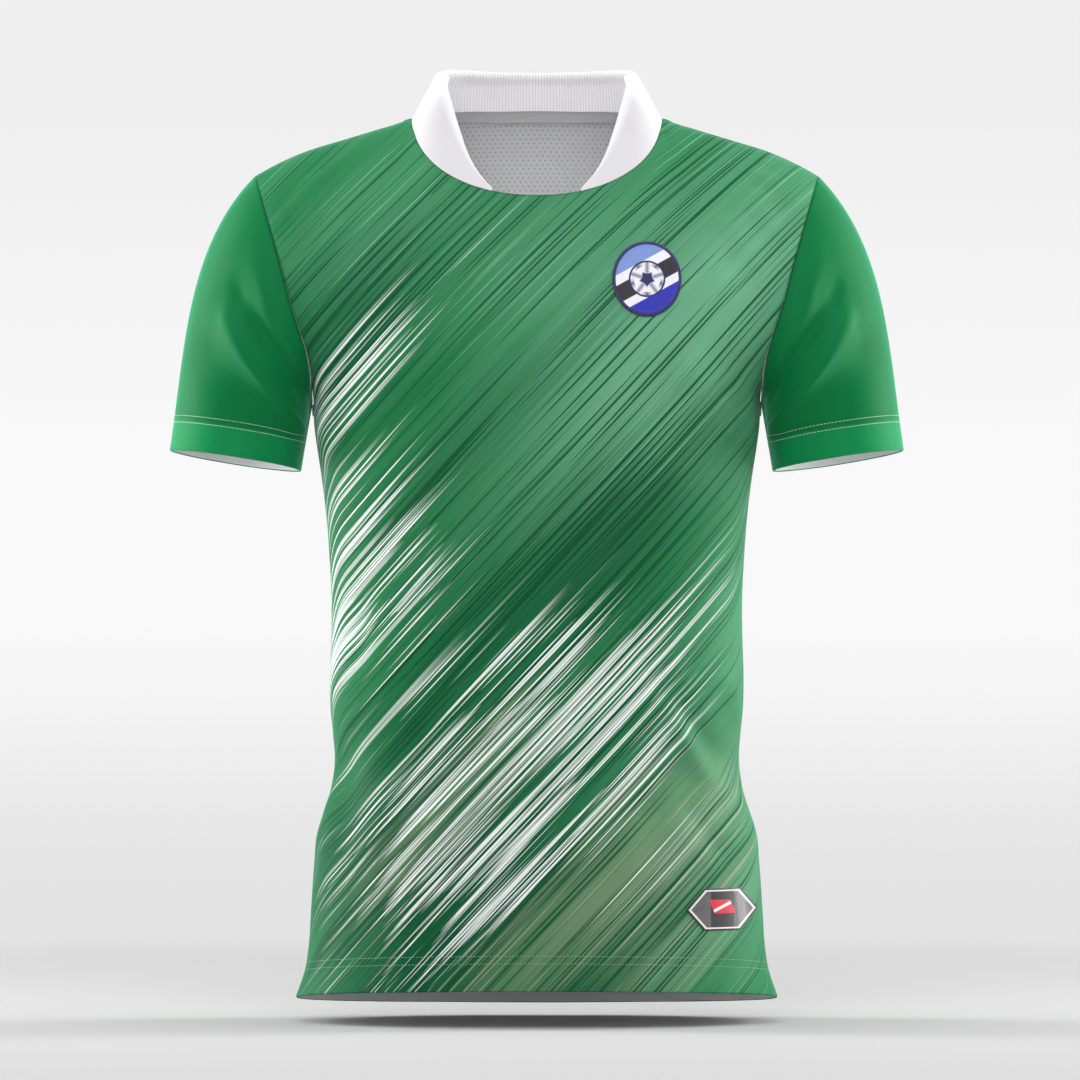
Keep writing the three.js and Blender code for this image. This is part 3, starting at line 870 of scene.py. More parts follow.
@dataclass(frozen=True)
class PrintedKnit:
    """Smooth green knit with a print of thin diagonal strokes, and painted shade along its seams.

    Attributes:
        seed: shifts the strokes, so that two panels differ.
    """

    seed: float = 0.0
    leaf: tuple = linear(24, 110, 62)
    pine: tuple = linear(0, 72, 42)
    sea: tuple = linear(106, 166, 132)
    khaki: tuple = linear(134, 150, 120)
    white: tuple = linear(228, 234, 231)
    grey: tuple = linear(196, 204, 198)

    def strokes(
        self, shader: Shader, place: tuple[Value, Value], cell: tuple[float, float], share: Value
    ) -> Value:
        """Draws one layer of tapered strokes, one to each cell of a stretched cell pattern.

        Args:
            shader: the shader that it is drawn in.
            place: millimetres along the print's rise, and across it.
            cell: the cells' length and width.
            share: how many of the cells hold a stroke here.

        Returns:
            How much the strokes cover, from 0 to 1.
        """
        shift = self.seed * 3.7 + cell[0] * 1.13 + cell[1] * 5.7
        spot = shader.point(place[0] / cell[0] + shift, place[1] / cell[1] + shift * 1.7)
        settings = {"voronoi_dimensions": "2D", "feature": "F1", "distance": "MINKOWSKI"}
        inputs = {"Vector": spot, "Scale": 1.0, "Exponent": 1.6, "Randomness": 1.0}
        gap = shader.node("ShaderNodeTexVoronoi", settings, inputs, "Distance")
        chance = shader.node("ShaderNodeSeparateXYZ", inputs={0: shader.of(gap, "Color")})
        shown = ((share - chance) * 6).held()
        reach = shader.of(chance, "Y") * 0.22 + 0.14
        return ((reach - gap) * 16).held() * shown

    def make(self) -> bpy.types.Material:
        """Returns the finished material."""
        shader = Shader("printed_knit")
        across, up, edge = shader.cut()
        rise = math.radians(PRINT_RISE)
        along = across * math.cos(rise) + up * math.sin(rise)
        aside = up * math.cos(rise) - across * math.sin(rise)
        shares = shader.node("ShaderNodeAttribute", {"attribute_name": "shares"}, output="Color")
        white = shader.node("ShaderNodeSeparateColor", inputs={0: shares})
        dark, light = shader.of(white, 1), shader.of(white, 2)
        khaki = shader.of(shares, "Alpha")
        haze = shader.noise(shader.point(along / 240, aside / 11, self.seed + 5), 1.0, 3.0, 0.6) - 0.5
        fine = shader.noise(shader.point(along / 260, aside / 2.4, self.seed + 9), 1.0, 2.0) - 0.5
        ground = shader.mix((light * 0.85 + haze * 0.45).held(), self.leaf, self.sea)
        ground = shader.mix((dark * 0.7 + fine * 0.9 + haze * 0.3 - 0.02).held(), ground, self.pine)
        ground = shader.mix((khaki * 0.7 + fine * 0.8).held() * khaki.from_to(0.05, 0.3), ground, self.khaki)
        layers = (
            ((260, 2.6), light * 0.45 + 0.1, self.sea, 0.7),
            ((520, 6.5), dark * 0.7 + 0.12, self.pine, 0.8),
            ((460, 4.4), dark * 0.8 + 0.3, self.pine, 0.9),
            ((400, 3.4), dark * 0.5 + 0.4, self.pine, 0.9),
            ((320, 2.5), dark * 0.4 + 0.3, self.pine, 0.85),
            ((420, 4.6), khaki, self.khaki, 0.85),
            ((330, 2.6), khaki * 0.9 + 0.03, self.khaki, 0.85),
            ((480, 6.4), white * 0.9, self.grey, 0.7),
            ((440, 3.4), white * 0.95, self.grey, 0.8),
            ((440, 3.6), white * 1.1 + 0.012, self.white, 0.97),
            ((380, 2.9), white * 1.1 + 0.02, self.white, 0.95),
            ((320, 2.2), white + 0.02, self.white, 0.9),
            ((380, 2.5), dark * white * 1.6, self.pine, 0.9),
        )
        for cell, share, colour, cover in layers:
            drawn = self.strokes(shader, (along, aside), cell, share)
            ground = shader.mix(drawn * cover, ground, colour)
        worn = shader.noise(shader.point(across / 60, up / 60, 2.0), 1.0)
        # Painted shade in the seam grooves: the print darkens within 1.8 mm of a side or shoulder seam, and
        # the noise adds a slight random tone.
        ground = shader.mix((1 - edge / 1.8).held() * 0.45 + worn * 0.03, ground, linear(8, 40, 26))
        soft = shader.noise(shader.point(across / 26, up / 34, self.seed), 1.0, 2.0)
        height = knit_height(across, up, *KNIT_LOOP)
        normal = shader.bump(height, 0.3, 0.0002, shader.bump(soft, 0.12, 0.002))
        return shader.dress(
            Base_Color=ground,
            Roughness=worn * 0.1 + 0.55,
            Normal=normal,
            Sheen_Weight=0.2,
            Sheen_Roughness=0.4,
            Sheen_Tint=(0.4, 1.0, 0.7, 1.0),
            Specular_IOR_Level=0.1,
        )


@dataclass(frozen=True)
class DyedKnit:
    """Plain emerald knit with a soft sheen, for the sleeves, with a painted highlight on the cuff hem and
    painted shade along the armhole seam.
    """

    emerald: tuple = linear(0, 108, 56)
    deep: tuple = linear(0, 92, 44)
    doubled_and_highlight: tuple = linear(18, 146, 84)

    def make(self) -> bpy.types.Material:
        """Returns the finished material."""
        shader = Shader("sleeve_knit")
        across, up, edge = shader.cut()
        cloud = shader.noise(shader.point(across / 46, up / 60, 1.0), 1.0, 3.0)
        yarn = shader.noise(shader.point(across / 0.9, up / 6, 3.0), 1.0, 1.0)
        colour = shader.mix((cloud * 0.5 + yarn * 0.25 - 0.12).held(), self.emerald, self.deep)
        # The turned cuff hem is painted lighter: partly for the doubled cloth, partly as a painted highlight
        # on the cuff.
        colour = shader.mix((HEM_TURN - up).from_to(0.0, 2.0) * 0.45, colour, self.doubled_and_highlight)
        # Painted shade in the armhole seam groove: the knit darkens within 2.2 mm of the seam.
        colour = shader.mix((1 - edge / 2.2).held() * 0.5, colour, linear(4, 46, 26))
        height = knit_height(across, up, *KNIT_LOOP)
        soft = shader.noise(shader.point(across / 24, up / 34, 7.0), 1.0, 2.0)
        normal = shader.bump(height, 0.3, 0.0002, shader.bump(soft, 0.08, 0.002))
        return shader.dress(
            Base_Color=colour,
            Roughness=cloud * 0.1 + 0.5,
            Normal=normal,
            Sheen_Weight=0.62,
            Sheen_Roughness=0.36,
            Sheen_Tint=(0.25, 1.0, 0.6, 1.0),
            Specular_IOR_Level=0.08,
        )


@dataclass(frozen=True)
class EyeletBacking:
    """The white inner face of the knit, with small grey eyelets in staggered rows."""

    pitch: float = 4.5
    rise: float = 3.9
    white: tuple = linear(252, 252, 253)
    hole: tuple = linear(190, 190, 193)

    def make(self) -> bpy.types.Material:
        """Returns the finished material."""
        shader = Shader("eyelet_backing")
        across, up, _ = shader.cut()
        row = up / self.rise
        shift = (row / 2).floor() * 2
        odd = (row.floor() - shift).size().least(1.0)
        right = (across / self.pitch + odd * 0.5).part() - 0.5
        high = row.part() - 0.5
        round_ = (right * right * (self.pitch / 0.75) ** 2 + high * high * (self.rise / 0.95) ** 2).power(0.5)
        hole = (1.25 - round_).held()
        yarn = shader.noise(shader.point(across / 1.1, up / 1.4, 4.0), 1.0, 2.0)
        colour = shader.mix(hole, shader.mix(yarn * 0.3, self.white, linear(222, 222, 225)), self.hole)
        height = knit_height(across, up, 1.1, 0.9) - hole * 2
        normal = shader.bump(height, 0.6, 0.0003)
        return shader.dress(
            Base_Color=colour,
            Roughness=hole * 0.1 + 0.78,
            Normal=normal,
            Sheen_Weight=0.2,
            Specular_IOR_Level=0.2,
        )


@dataclass(frozen=True)
class PlainBacking:
    """The plain white inner face of a turned hem."""

    white: tuple = linear(236, 236, 238)

    def make(self) -> bpy.types.Material:
        """Returns the finished material."""
        shader = Shader("plain_backing")
        across, up, _ = shader.cut()
        yarn = shader.noise(shader.point(across / 1.1, up / 1.4, 4.0), 1.0, 2.0)
        normal = shader.bump(knit_height(across, up, 1.0, 0.8), 0.4, 0.0002)
        colour = shader.mix(yarn * 0.3, self.white, linear(210, 210, 213))
        rough = yarn * 0.1 + 0.75
        return shader.dress(Base_Color=colour, Roughness=rough, Normal=normal, Specular_IOR_Level=0.2)


@dataclass(frozen=True)
class WhiteRib:
    """Matt white rib knit, whose ribs are in the mesh, with painted shade on its outer layer and in its inner
    rib troughs.
    """

    white: tuple = linear(247, 245, 248)
    outside_shaded: tuple = linear(199, 197, 200)
    shade: tuple = linear(206, 202, 209)

    def make(self) -> bpy.types.Material:
        """Returns the finished material."""
        shader = Shader("white_rib")
        across, up, edge = shader.cut()
        yarn = shader.noise(shader.point(across / 0.8, up / 2.4, 5.0), 1.0, 2.0)
        rib = (across * (math.tau / Collar.RIB_PITCH)).wave() * 0.5 + 0.5
        # Painted shade: the outer layer of the same white rib is painted darker than the inner layer.
        colour = shader.mix(edge, self.outside_shaded, self.white)
        # Painted shade in the inner layer's rib troughs, with a slight random yarn tone.
        colour = shader.mix(((1 - rib) * edge * 0.55 + yarn * 0.12).held(), colour, self.shade)
        height = knit_height(across, up, 0.8, 0.75)
        normal = shader.bump(height, 0.4, 0.00025)
        return shader.dress(
            Base_Color=colour,
            Roughness=yarn * 0.1 + 0.72,
            Normal=normal,
            Sheen_Weight=0.2,
            Specular_IOR_Level=0.25,
        )


@dataclass(frozen=True)
class GreyTape:
    """Woven grey tape with a twill and two paler lines."""

    grey: tuple = linear(240, 240, 241)
    pale: tuple = linear(250, 250, 250)

    def make(self) -> bpy.types.Material:
        """Returns the finished material."""
        shader = Shader("grey_tape")
        across, up, _ = shader.cut()
        twill = ((across + up * 1.2) * (math.tau / 0.9)).wave() * 0.5 + 0.5
        line = up.band(2.4, 0.55).most(up.band(10.3, 0.55))
        yarn = shader.noise(shader.point(across / 0.7, up / 0.7, 6.0), 1.0, 1.0)
        colour = shader.mix((twill * 0.25 + yarn * 0.2).held(), self.grey, linear(214, 214, 215))
        colour = shader.mix(line * 0.8, colour, self.pale)
        normal = shader.bump(twill * 0.5 - line * 0.6, 0.5, 0.0003)
        return shader.dress(Base_Color=colour, Roughness=yarn * 0.1 + 0.7, Normal=normal, Sheen_Weight=0.15)


@dataclass(frozen=True)
class Thread:
    """Twisted sewing thread in one colour."""

    name: str
    colour: tuple

    def make(self) -> bpy.types.Material:
        """Returns the finished material."""
        shader = Shader(self.name)
        place = shader.node("ShaderNodeTexCoord", output="Object")
        ply = shader.noise(place, 1400.0, 2.0)
        colour = shader.mix(ply * 0.35, self.colour, tuple(c * 0.6 for c in self.colour[:3]) + (1.0,))
        normal = shader.bump(ply, 0.4, 0.0001)
        return shader.dress(Base_Color=colour, Roughness=ply * 0.15 + 0.5, Normal=normal, Sheen_Weight=0.3)


@dataclass(frozen=True)
class BadgeWeave:
    """Woven badge: a plain ball on a dark band between blue and white fields, in a navy edge."""

    dark: tuple = linear(34, 24, 28)
    navy: tuple = linear(26, 26, 84)
    blue: tuple = linear(28, 34, 168)
    sky: tuple = linear(118, 144, 206)
    white: tuple = linear(232, 233, 240)

    def make(self) -> bpy.types.Material:
        """Returns the finished material."""
        shader = Shader("crest_weave")
        across, up, edge = shader.cut()
        away = (across * across + up * up).power(0.5)
        turn = shader.node("ShaderNodeMath", {"operation": "ARCTAN2"}, {0: up, 1: across})
        weft = ((up + across * 0.35) * (math.tau / 0.8)).wave() * 0.5 + 0.5
        lean = (up - across * 0.55) / 5.0
        field = shader.mix((lean - 3.2).from_to(-0.05, 0.05), self.white, self.sky)
        field = shader.mix((lean + 3.0).from_to(0.05, -0.05), field, self.blue)
        field = shader.mix((1.5 - lean.size()).from_to(-0.05, 0.05), field, self.dark)
        fifth = (turn / math.tau * 5 + 0.25).part() - 0.5
        spoke = (1 - (fifth.size() * away / 2.0)).held() * away.from_to(4.6, 5.0)
        panel = (5.0 - away * (1 - fifth * fifth * 1.2)).held()
        rim_panel = (fifth.size() - 0.5).size().band(0.0, 0.3) * away.from_to(10.2, 10.8)
        ball = shader.mix((panel.most(spoke * 0.8)).most(rim_panel * 0.9).held(), self.white, self.navy)
        colour = shader.mix((13.6 - away).from_to(-0.2, 0.2), field, ball)
        colour = shader.mix((0.7 - (away - 13.8).size()).from_to(-0.1, 0.1), colour, self.navy)
        colour = shader.mix(edge.from_to(0.915, 0.925), colour, self.navy)
        colour = shader.mix(weft * 0.16, colour, self.navy)
        satin = (turn * 62).wave() * edge.from_to(0.84, 0.87)
        normal = shader.bump(weft * 0.5 + satin * 0.6, 0.55, 0.0003)
        return shader.dress(
            Base_Color=colour,
            Roughness=weft * 0.12 + 0.42,
            Normal=normal,
            Sheen_Weight=0.2,
            Specular_IOR_Level=0.4,
        )


@dataclass(frozen=True)
class LabelPrint:
    """Dark pressed label with a pale border, fine grey lines and a plain red bar."""

    black: tuple = linear(30, 27, 28)
    grey: tuple = linear(126, 122, 124)
    pale: tuple = linear(214, 210, 210)
    red: tuple = linear(196, 20, 46)

    def make(self) -> bpy.types.Material:
        """Returns the finished material."""
        shader = Shader("label_weave")
        across, up, edge = shader.cut()
        hatch = ((across * 0.8 + up) * (math.tau / 1.5)).wave().from_to(0.1, 0.5)
        wing = across.size().from_to(9.0, 9.4)
        field = shader.mix(hatch * wing * 0.8, self.black, self.grey)
        high = up - 2.0
        wide = (across + high * 0.45).size()
        bar = (5.4 - high.size()).from_to(-0.15, 0.15) * (8.4 - wide).from_to(-0.15, 0.15)
        field = shader.mix(bar, field, self.red)
        notch = (1.3 - (high - across * 0.5).size()).from_to(-0.15, 0.15) * bar
        field = shader.mix(notch, field, self.pale)
        field = shader.mix(edge.from_to(0.86, 0.88) * (1 - edge.from_to(0.93, 0.95)), field, self.pale)
        field = shader.mix(edge.from_to(0.95, 0.96), field, self.black)
        dust = shader.noise(shader.point(across / 2.0, up / 2.0, 3.0), 1.0)
        normal = shader.bump(hatch * wing + bar * 1.4 + dust * 0.4, 0.4, 0.00025)
        return shader.dress(Base_Color=field, Roughness=dust * 0.15 + 0.36, Normal=normal, Coat_Weight=0.1)


@dataclass
class Panel:
    """The front or the back of the jersey, from the hem to the shoulder seams.

    Attributes:
        node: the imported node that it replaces.
        facing: the way that its middle looks.
        seed: shifts its print.
        bursts: where its strokes gather.
        creases: its finer creases.
    """

    TURN_FROM = 0.82
    TURN_OVER = 0.15
    SIDE_SPREAD = 0.18
    SHOULDER_CLIMB = 0.25
    CLIMB_FROM = -150.0
    CLIMB_OVER = 110.0
    node: str
    facing: tuple[float, float, float]
    seed: float
    bursts: Sequence[Burst]
    creases: Sequence[Crease]
    columns: int = 37
    rows: int = 38
    armpit_row: int = 24
    half_width: float = 200.0
    smoothing: int = 120
    step_across: float = 3.0
    step_up: float = 3.6
    pit: int = field(init=False)
    cloth: Cloth = field(init=False)
    piece: bpy.types.Object = field(init=False)

    def shape(self) -> None:
        """Walks the solid's net and draws a finer one through it."""
        wall = Wall(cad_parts[self.node])
        coarse = wall.open_net(self.facing, self.rows, self.columns, sharp=EDGE_ANGLE, hang=2)
        knots_up = self.knots(coarse, 0)
        knots_across = self.knots(coarse, 1)
        middle = (self.columns - 1) // 2
        heights = places(knots_up, self.step_up, EDGE_MARKS)
        spots = places(knots_across, self.step_across, EDGE_MARKS)
        rows = smooth_through(coarse, knots_up, heights)
        points = np.swapaxes(smooth_through(np.swapaxes(rows, 0, 1), knots_across, spots), 0, 1)
        side = self.facing[1]
        points[..., 1] = side * np.maximum(side * points[..., 1], SEAM_HALF)
        self.cloth = Cloth(points, False, points * [0, 0, 1])
        centre = int(np.argmin(np.abs(spots - knots_across[middle])))
        self.pit = int(np.argmin(np.abs(heights - knots_up[self.armpit_row])))
        self.lay_flat(centre)
        self.cloth.cut[..., 2] = self.cloth.edge_way(("first", "last", "high"))

    def lay_flat(self, centre: int) -> None:
        """Gives each point its place on the flat cut panel, as the print lies on it.

        Args:
            centre: the middle column.
        """
        cloth = self.cloth
        turned = np.clip((np.abs(cloth.normals()[..., 0]) - self.TURN_FROM) / self.TURN_OVER, 0, 1)
        steps = np.diff(cloth.points, axis=1)
        share = (turned[:, 1:] + turned[:, :-1]) / 2
        middle = (cloth.points[:, 1:, 0] + cloth.points[:, :-1, 0]) / 2
        spread = steps[..., 0] * (1 + self.SIDE_SPREAD * (middle / self.half_width) ** 2)
        moves = spread * (1 - share) + np.linalg.norm(steps, axis=-1) * np.sign(steps[..., 0]) * share
        place = np.pad(np.cumsum(moves, axis=1), ((0, 0), (1, 0)))
        cloth.cut[..., 0] = place - place[:, centre : centre + 1]
        deep = np.abs(cloth.points[..., 1])
        shoulder = np.clip((cloth.points[..., 2] - self.CLIMB_FROM) / self.CLIMB_OVER, 0, 1)
        cloth.cut[..., 1] = cloth.points[..., 2] + self.SHOULDER_CLIMB * shoulder * (deep.max() - deep)
        base = cloth.points * [1, 0, 1]
        base[..., 1] = base[..., 2]
        away = (cloth.cut - base)[..., :2]
        for _ in range(self.smoothing):
            away[1:-1] = (away[:-2] + 2 * away[1:-1] + away[2:]) / 4
        cloth.cut[..., :2] = base[..., :2] + away

    @staticmethod
    def knots(net: np.ndarray, axis: int) -> np.ndarray:
        """Returns the mean place of each row or column along a net."""
        steps = np.linalg.norm(np.diff(net, axis=axis), axis=-1).mean(1 - axis)
        return np.concatenate([[0], np.cumsum(steps)])

    def dress(self, backing: Sequence[bpy.types.Material]) -> None:
        """Creases and prints the cloth and makes it a thin shell.

        Args:
            backing: the materials of its inner face and of its turned hem.
        """
        cloth = self.cloth
        cloth.settle_creases(self.creases, fade=12)
        for burst in self.bursts:
            cloth.shares[..., burst.tone.value] += burst.share_at(cloth.cut)
        cloth.shares = np.clip(cloth.shares, 0, 1)
        self.piece = cloth.hemmed(self.node + "_cloth", (PrintedKnit(self.seed).make(), *backing))
        settle(self.piece, self.node)

    def size(self) -> tuple[float, float]:
        """Returns the panel's flat width and length in metres."""
        under_arms = self.cloth.lengths(1)[: self.pit + 1]
        return under_arms[:, -1].max() * MM, self.cloth.lengths(0)[-1].max() * MM


@dataclass
class Sleeve:
    """A set-in sleeve with its turned cuff hem.

    Attributes:
        node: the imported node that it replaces.
        side: 1 on the wearer's left, -1 on the wearer's right.
        creases: its finer creases.
    """

    node: str
    side: int
    creases: Sequence[Crease]
    rings: int = 15
    round_points: int = 26
    step: float = 2.8
    cloth: Cloth = field(init=False)
    piece: bpy.types.Object = field(init=False)

    def shape(self) -> None:
        """Walks the solid's rings from the cuff to the armhole and draws a finer net through them."""
        wall = Wall(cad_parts[self.node])
        face = wall.face_towards((self.side, 0, 0), EDGE_ANGLE)
        members = set(wall.triangles[list(face)].ravel().tolist())
        loops = wall.border(face)
        cuff = min(loops, key=lambda loop: wall.points[loop, 2].mean())
        others = set(range(len(wall.points))) - members
        numbers = wall.net(cuff, self.rings, others, closed=True)
        coarse = wall.points[numbers] / MM
        seam = int(np.argmin(coarse[-1, :, 2]))
        coarse = np.roll(coarse, -seam, axis=1)
        if coarse[-1, 3, 1] > coarse[-1, 0, 1]:
            coarse = np.roll(coarse[:, ::-1], 1, axis=1)
        knots_up = Panel.knots(coarse, 0)
        rows = smooth_through(coarse, knots_up, places(knots_up, self.step, EDGE_MARKS))
        ring = np.concatenate([rows[:, -3:], rows, rows[:, :4]], axis=1)
        knots_round = Panel.knots(ring, 1)
        around = places(knots_round[3 : 4 + self.round_points], self.step)[:-1]
        points = np.swapaxes(smooth_through(np.swapaxes(ring, 0, 1), knots_round, around), 0, 1)
        self.cloth = Cloth(points, True, points.mean(1, keepdims=True))
        along = self.cloth.lengths(1)
        half = int(np.argmin(np.abs(around - knots_round[3 + self.round_points // 2])))
        self.cloth.cut[..., 0] = along[:, half : half + 1] - along
        self.cloth.cut[..., 1] = self.cloth.lengths(0)
        self.cloth.cut[..., 2] = self.cloth.edge_way(("high",))

    def dress(self, backing: Sequence[bpy.types.Material]) -> None:
        """Creases the cloth and makes it a thin shell.

        Args:
            backing: the materials of its inner face and of its turned hem.
        """
        self.cloth.settle_creases(self.creases, fade=10)
        self.piece = self.cloth.hemmed(self.node + "_cloth", (DyedKnit().make(), *backing))
        settle(self.piece, self.node)

    def size(self) -> tuple[float, float]:
        """Returns the sleeve's flat width and length in metres."""
        closing = np.linalg.norm(self.cloth.points[:, 0] - self.cloth.points[:, -1], axis=-1)
        width = (self.cloth.lengths(1)[:, -1] + closing).max() * MM
        return width, self.cloth.lengths(0)[-1].max() * MM


@dataclass
class Collar:
    """The stand collar: a rib band folded along its top edge, in two layers.

    Attributes:
        sections: how many sections its solid has from front end to front end.
        profile: not used.
        knit: the thickness of one layer, in millimetres.
        rib_inside: how far the ribs stand out on the inner layer.
        rib_outside: how far they stand out on the stretched outer layer.
    """

    RIB_PITCH = 2.4
    sections: int = 33
    profile: int = 10
    knit: float = 0.85
    rib_inside: float = 0.24
    rib_outside: float = 0.05
    piece: bpy.types.Object = field(init=False)
    band: tuple[float, float, float] = field(init=False)

    def net(self) -> np.ndarray:
        """Walks the solid from its middle section to both ends.

        Returns:
            The sections' points from end to end, from the outer foot over the top to the inner foot.
        """
        wall = Wall(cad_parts["collar"])
        middle = [int(n) for n in np.where(np.abs(wall.points[:, 0]) < 5e-5)[0] if wall.points[n, 1] > 0]
        behind = wall.points[middle]
        foot = middle[int(np.argmin(behind[:, 2] - 3 * behind[:, 1]))]
        ring = [foot]
        while len(ring) < len(middle):
            near = [n for n in middle if n not in ring and frozenset((ring[-1], n)) in wall.at_edge]
            ring.append(max(near, key=lambda n: wall.points[n, 1] + wall.points[n, 2]))
        left = {n for n in range(len(wall.points)) if wall.points[n, 0] < -5e-5}
        right = {n for n in range(len(wall.points)) if wall.points[n, 0] > 5e-5}
        count = (self.sections + 1) // 2
        rightward = wall.net(ring, count, left, closed=True)
        leftward = wall.net(ring, count, right, closed=True)
        return wall.points[np.concatenate([leftward[:0:-1], rightward])] / MM

    def make(self) -> None:
        """Builds the ribbed band."""
        coarse = self.net()
        knots_along = Panel.knots(coarse, 0)
        along = places(knots_along, self.RIB_PITCH / 5)
        fine = smooth_through(coarse, knots_along, along)
        knots_over = Panel.knots(fine, 1)
        over = places(knots_over, 2.8, (0.5, 1.1))
        points = smooth_through(np.swapaxes(fine, 0, 1), knots_over, over)
        thick = np.linalg.norm(points[0] - points[-1], axis=-1)
        cloth = Cloth(points, False, points.mean(0, keepdims=True))
        height = knots_over[-1]
        cloth.cut[..., 0] = along[None, :]
        cloth.cut[..., 1] = over[:, None]
        inside = np.clip((over / height - 0.38) / 0.12, 0, 1)[:, None]
        cloth.cut[..., 2] = inside
        rib = 0.5 + 0.5 * np.sin(cloth.cut[..., 0] * math.tau / self.RIB_PITCH)
        feet = np.clip(np.minimum(over, height - over) / 3, 0, 1)[:, None]
        depth = self.rib_outside + (self.rib_inside - self.rib_outside) * inside
        taper = np.clip(thick / 1.6, 0, 1)[None, :]
        cloth.move((rib - 1) * depth * feet * taper)
        knit = np.minimum(self.knit, thick * 0.34)[None, :] * np.ones_like(cloth.cut[..., 0])
        finish = WhiteRib().make()
        self.piece = cloth.shell("collar_rib", knit, (finish, finish))
        settle(self.piece, "collar")
        band = cloth.lengths(0)[-1]
        long = cloth.lengths(1).max()
        self.band = (long * MM, band.max() * MM, float(band.mean() * long) * MM**2)


@dataclass
class NeckTape:
    """The grey tape over the back neck seam.

    Attributes:
        sections: how many points a row of its solid has.
        crown: how far its middle stands proud, in millimetres.
    """

    sections: int = 17
    crown: float = 0.25
    piece: bpy.types.Object = field(init=False)
    band: tuple[float, float] = field(init=False)

    def make(self) -> None:
        """Builds the tape on its solid's inner face."""
        wall = Wall(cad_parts["neck_tape"])
        coarse = wall.open_net((0, -1, 0), 3, self.sections, sharp=TAPE_EDGE_ANGLE, hang=0)
        knots_up, knots_across = Panel.knots(coarse, 0), Panel.knots(coarse, 1)
        up = places(knots_up, 1.1, (0.4,))
        across = places(knots_across, 1.6)
        rows = smooth_through(coarse, knots_up, up)
        points = np.swapaxes(smooth_through(np.swapaxes(rows, 0, 1), knots_across, across), 0, 1)
        cloth = Cloth(points, False, points + np.array([0, 9, 0]))
        cloth.cut[..., 0] = across[None, :]
        cloth.cut[..., 1] = up[:, None]
        share = (up / up[-1])[:, None]
        pucker = 0.12 * np.sin(across * math.tau / 7.3)[None, :] * (2 * share - 1) ** 2
        cloth.move(self.crown * np.sin(math.pi * share) ** 0.5 + pucker)
        finish = GreyTape().make()
        self.piece = cloth.shell("neck_tape_band", np.full(points.shape[:2], 0.6), (finish, finish))
        settle(self.piece, "neck_tape")
        self.band = (cloth.lengths(1).max() * MM, cloth.lengths(0).max() * MM)


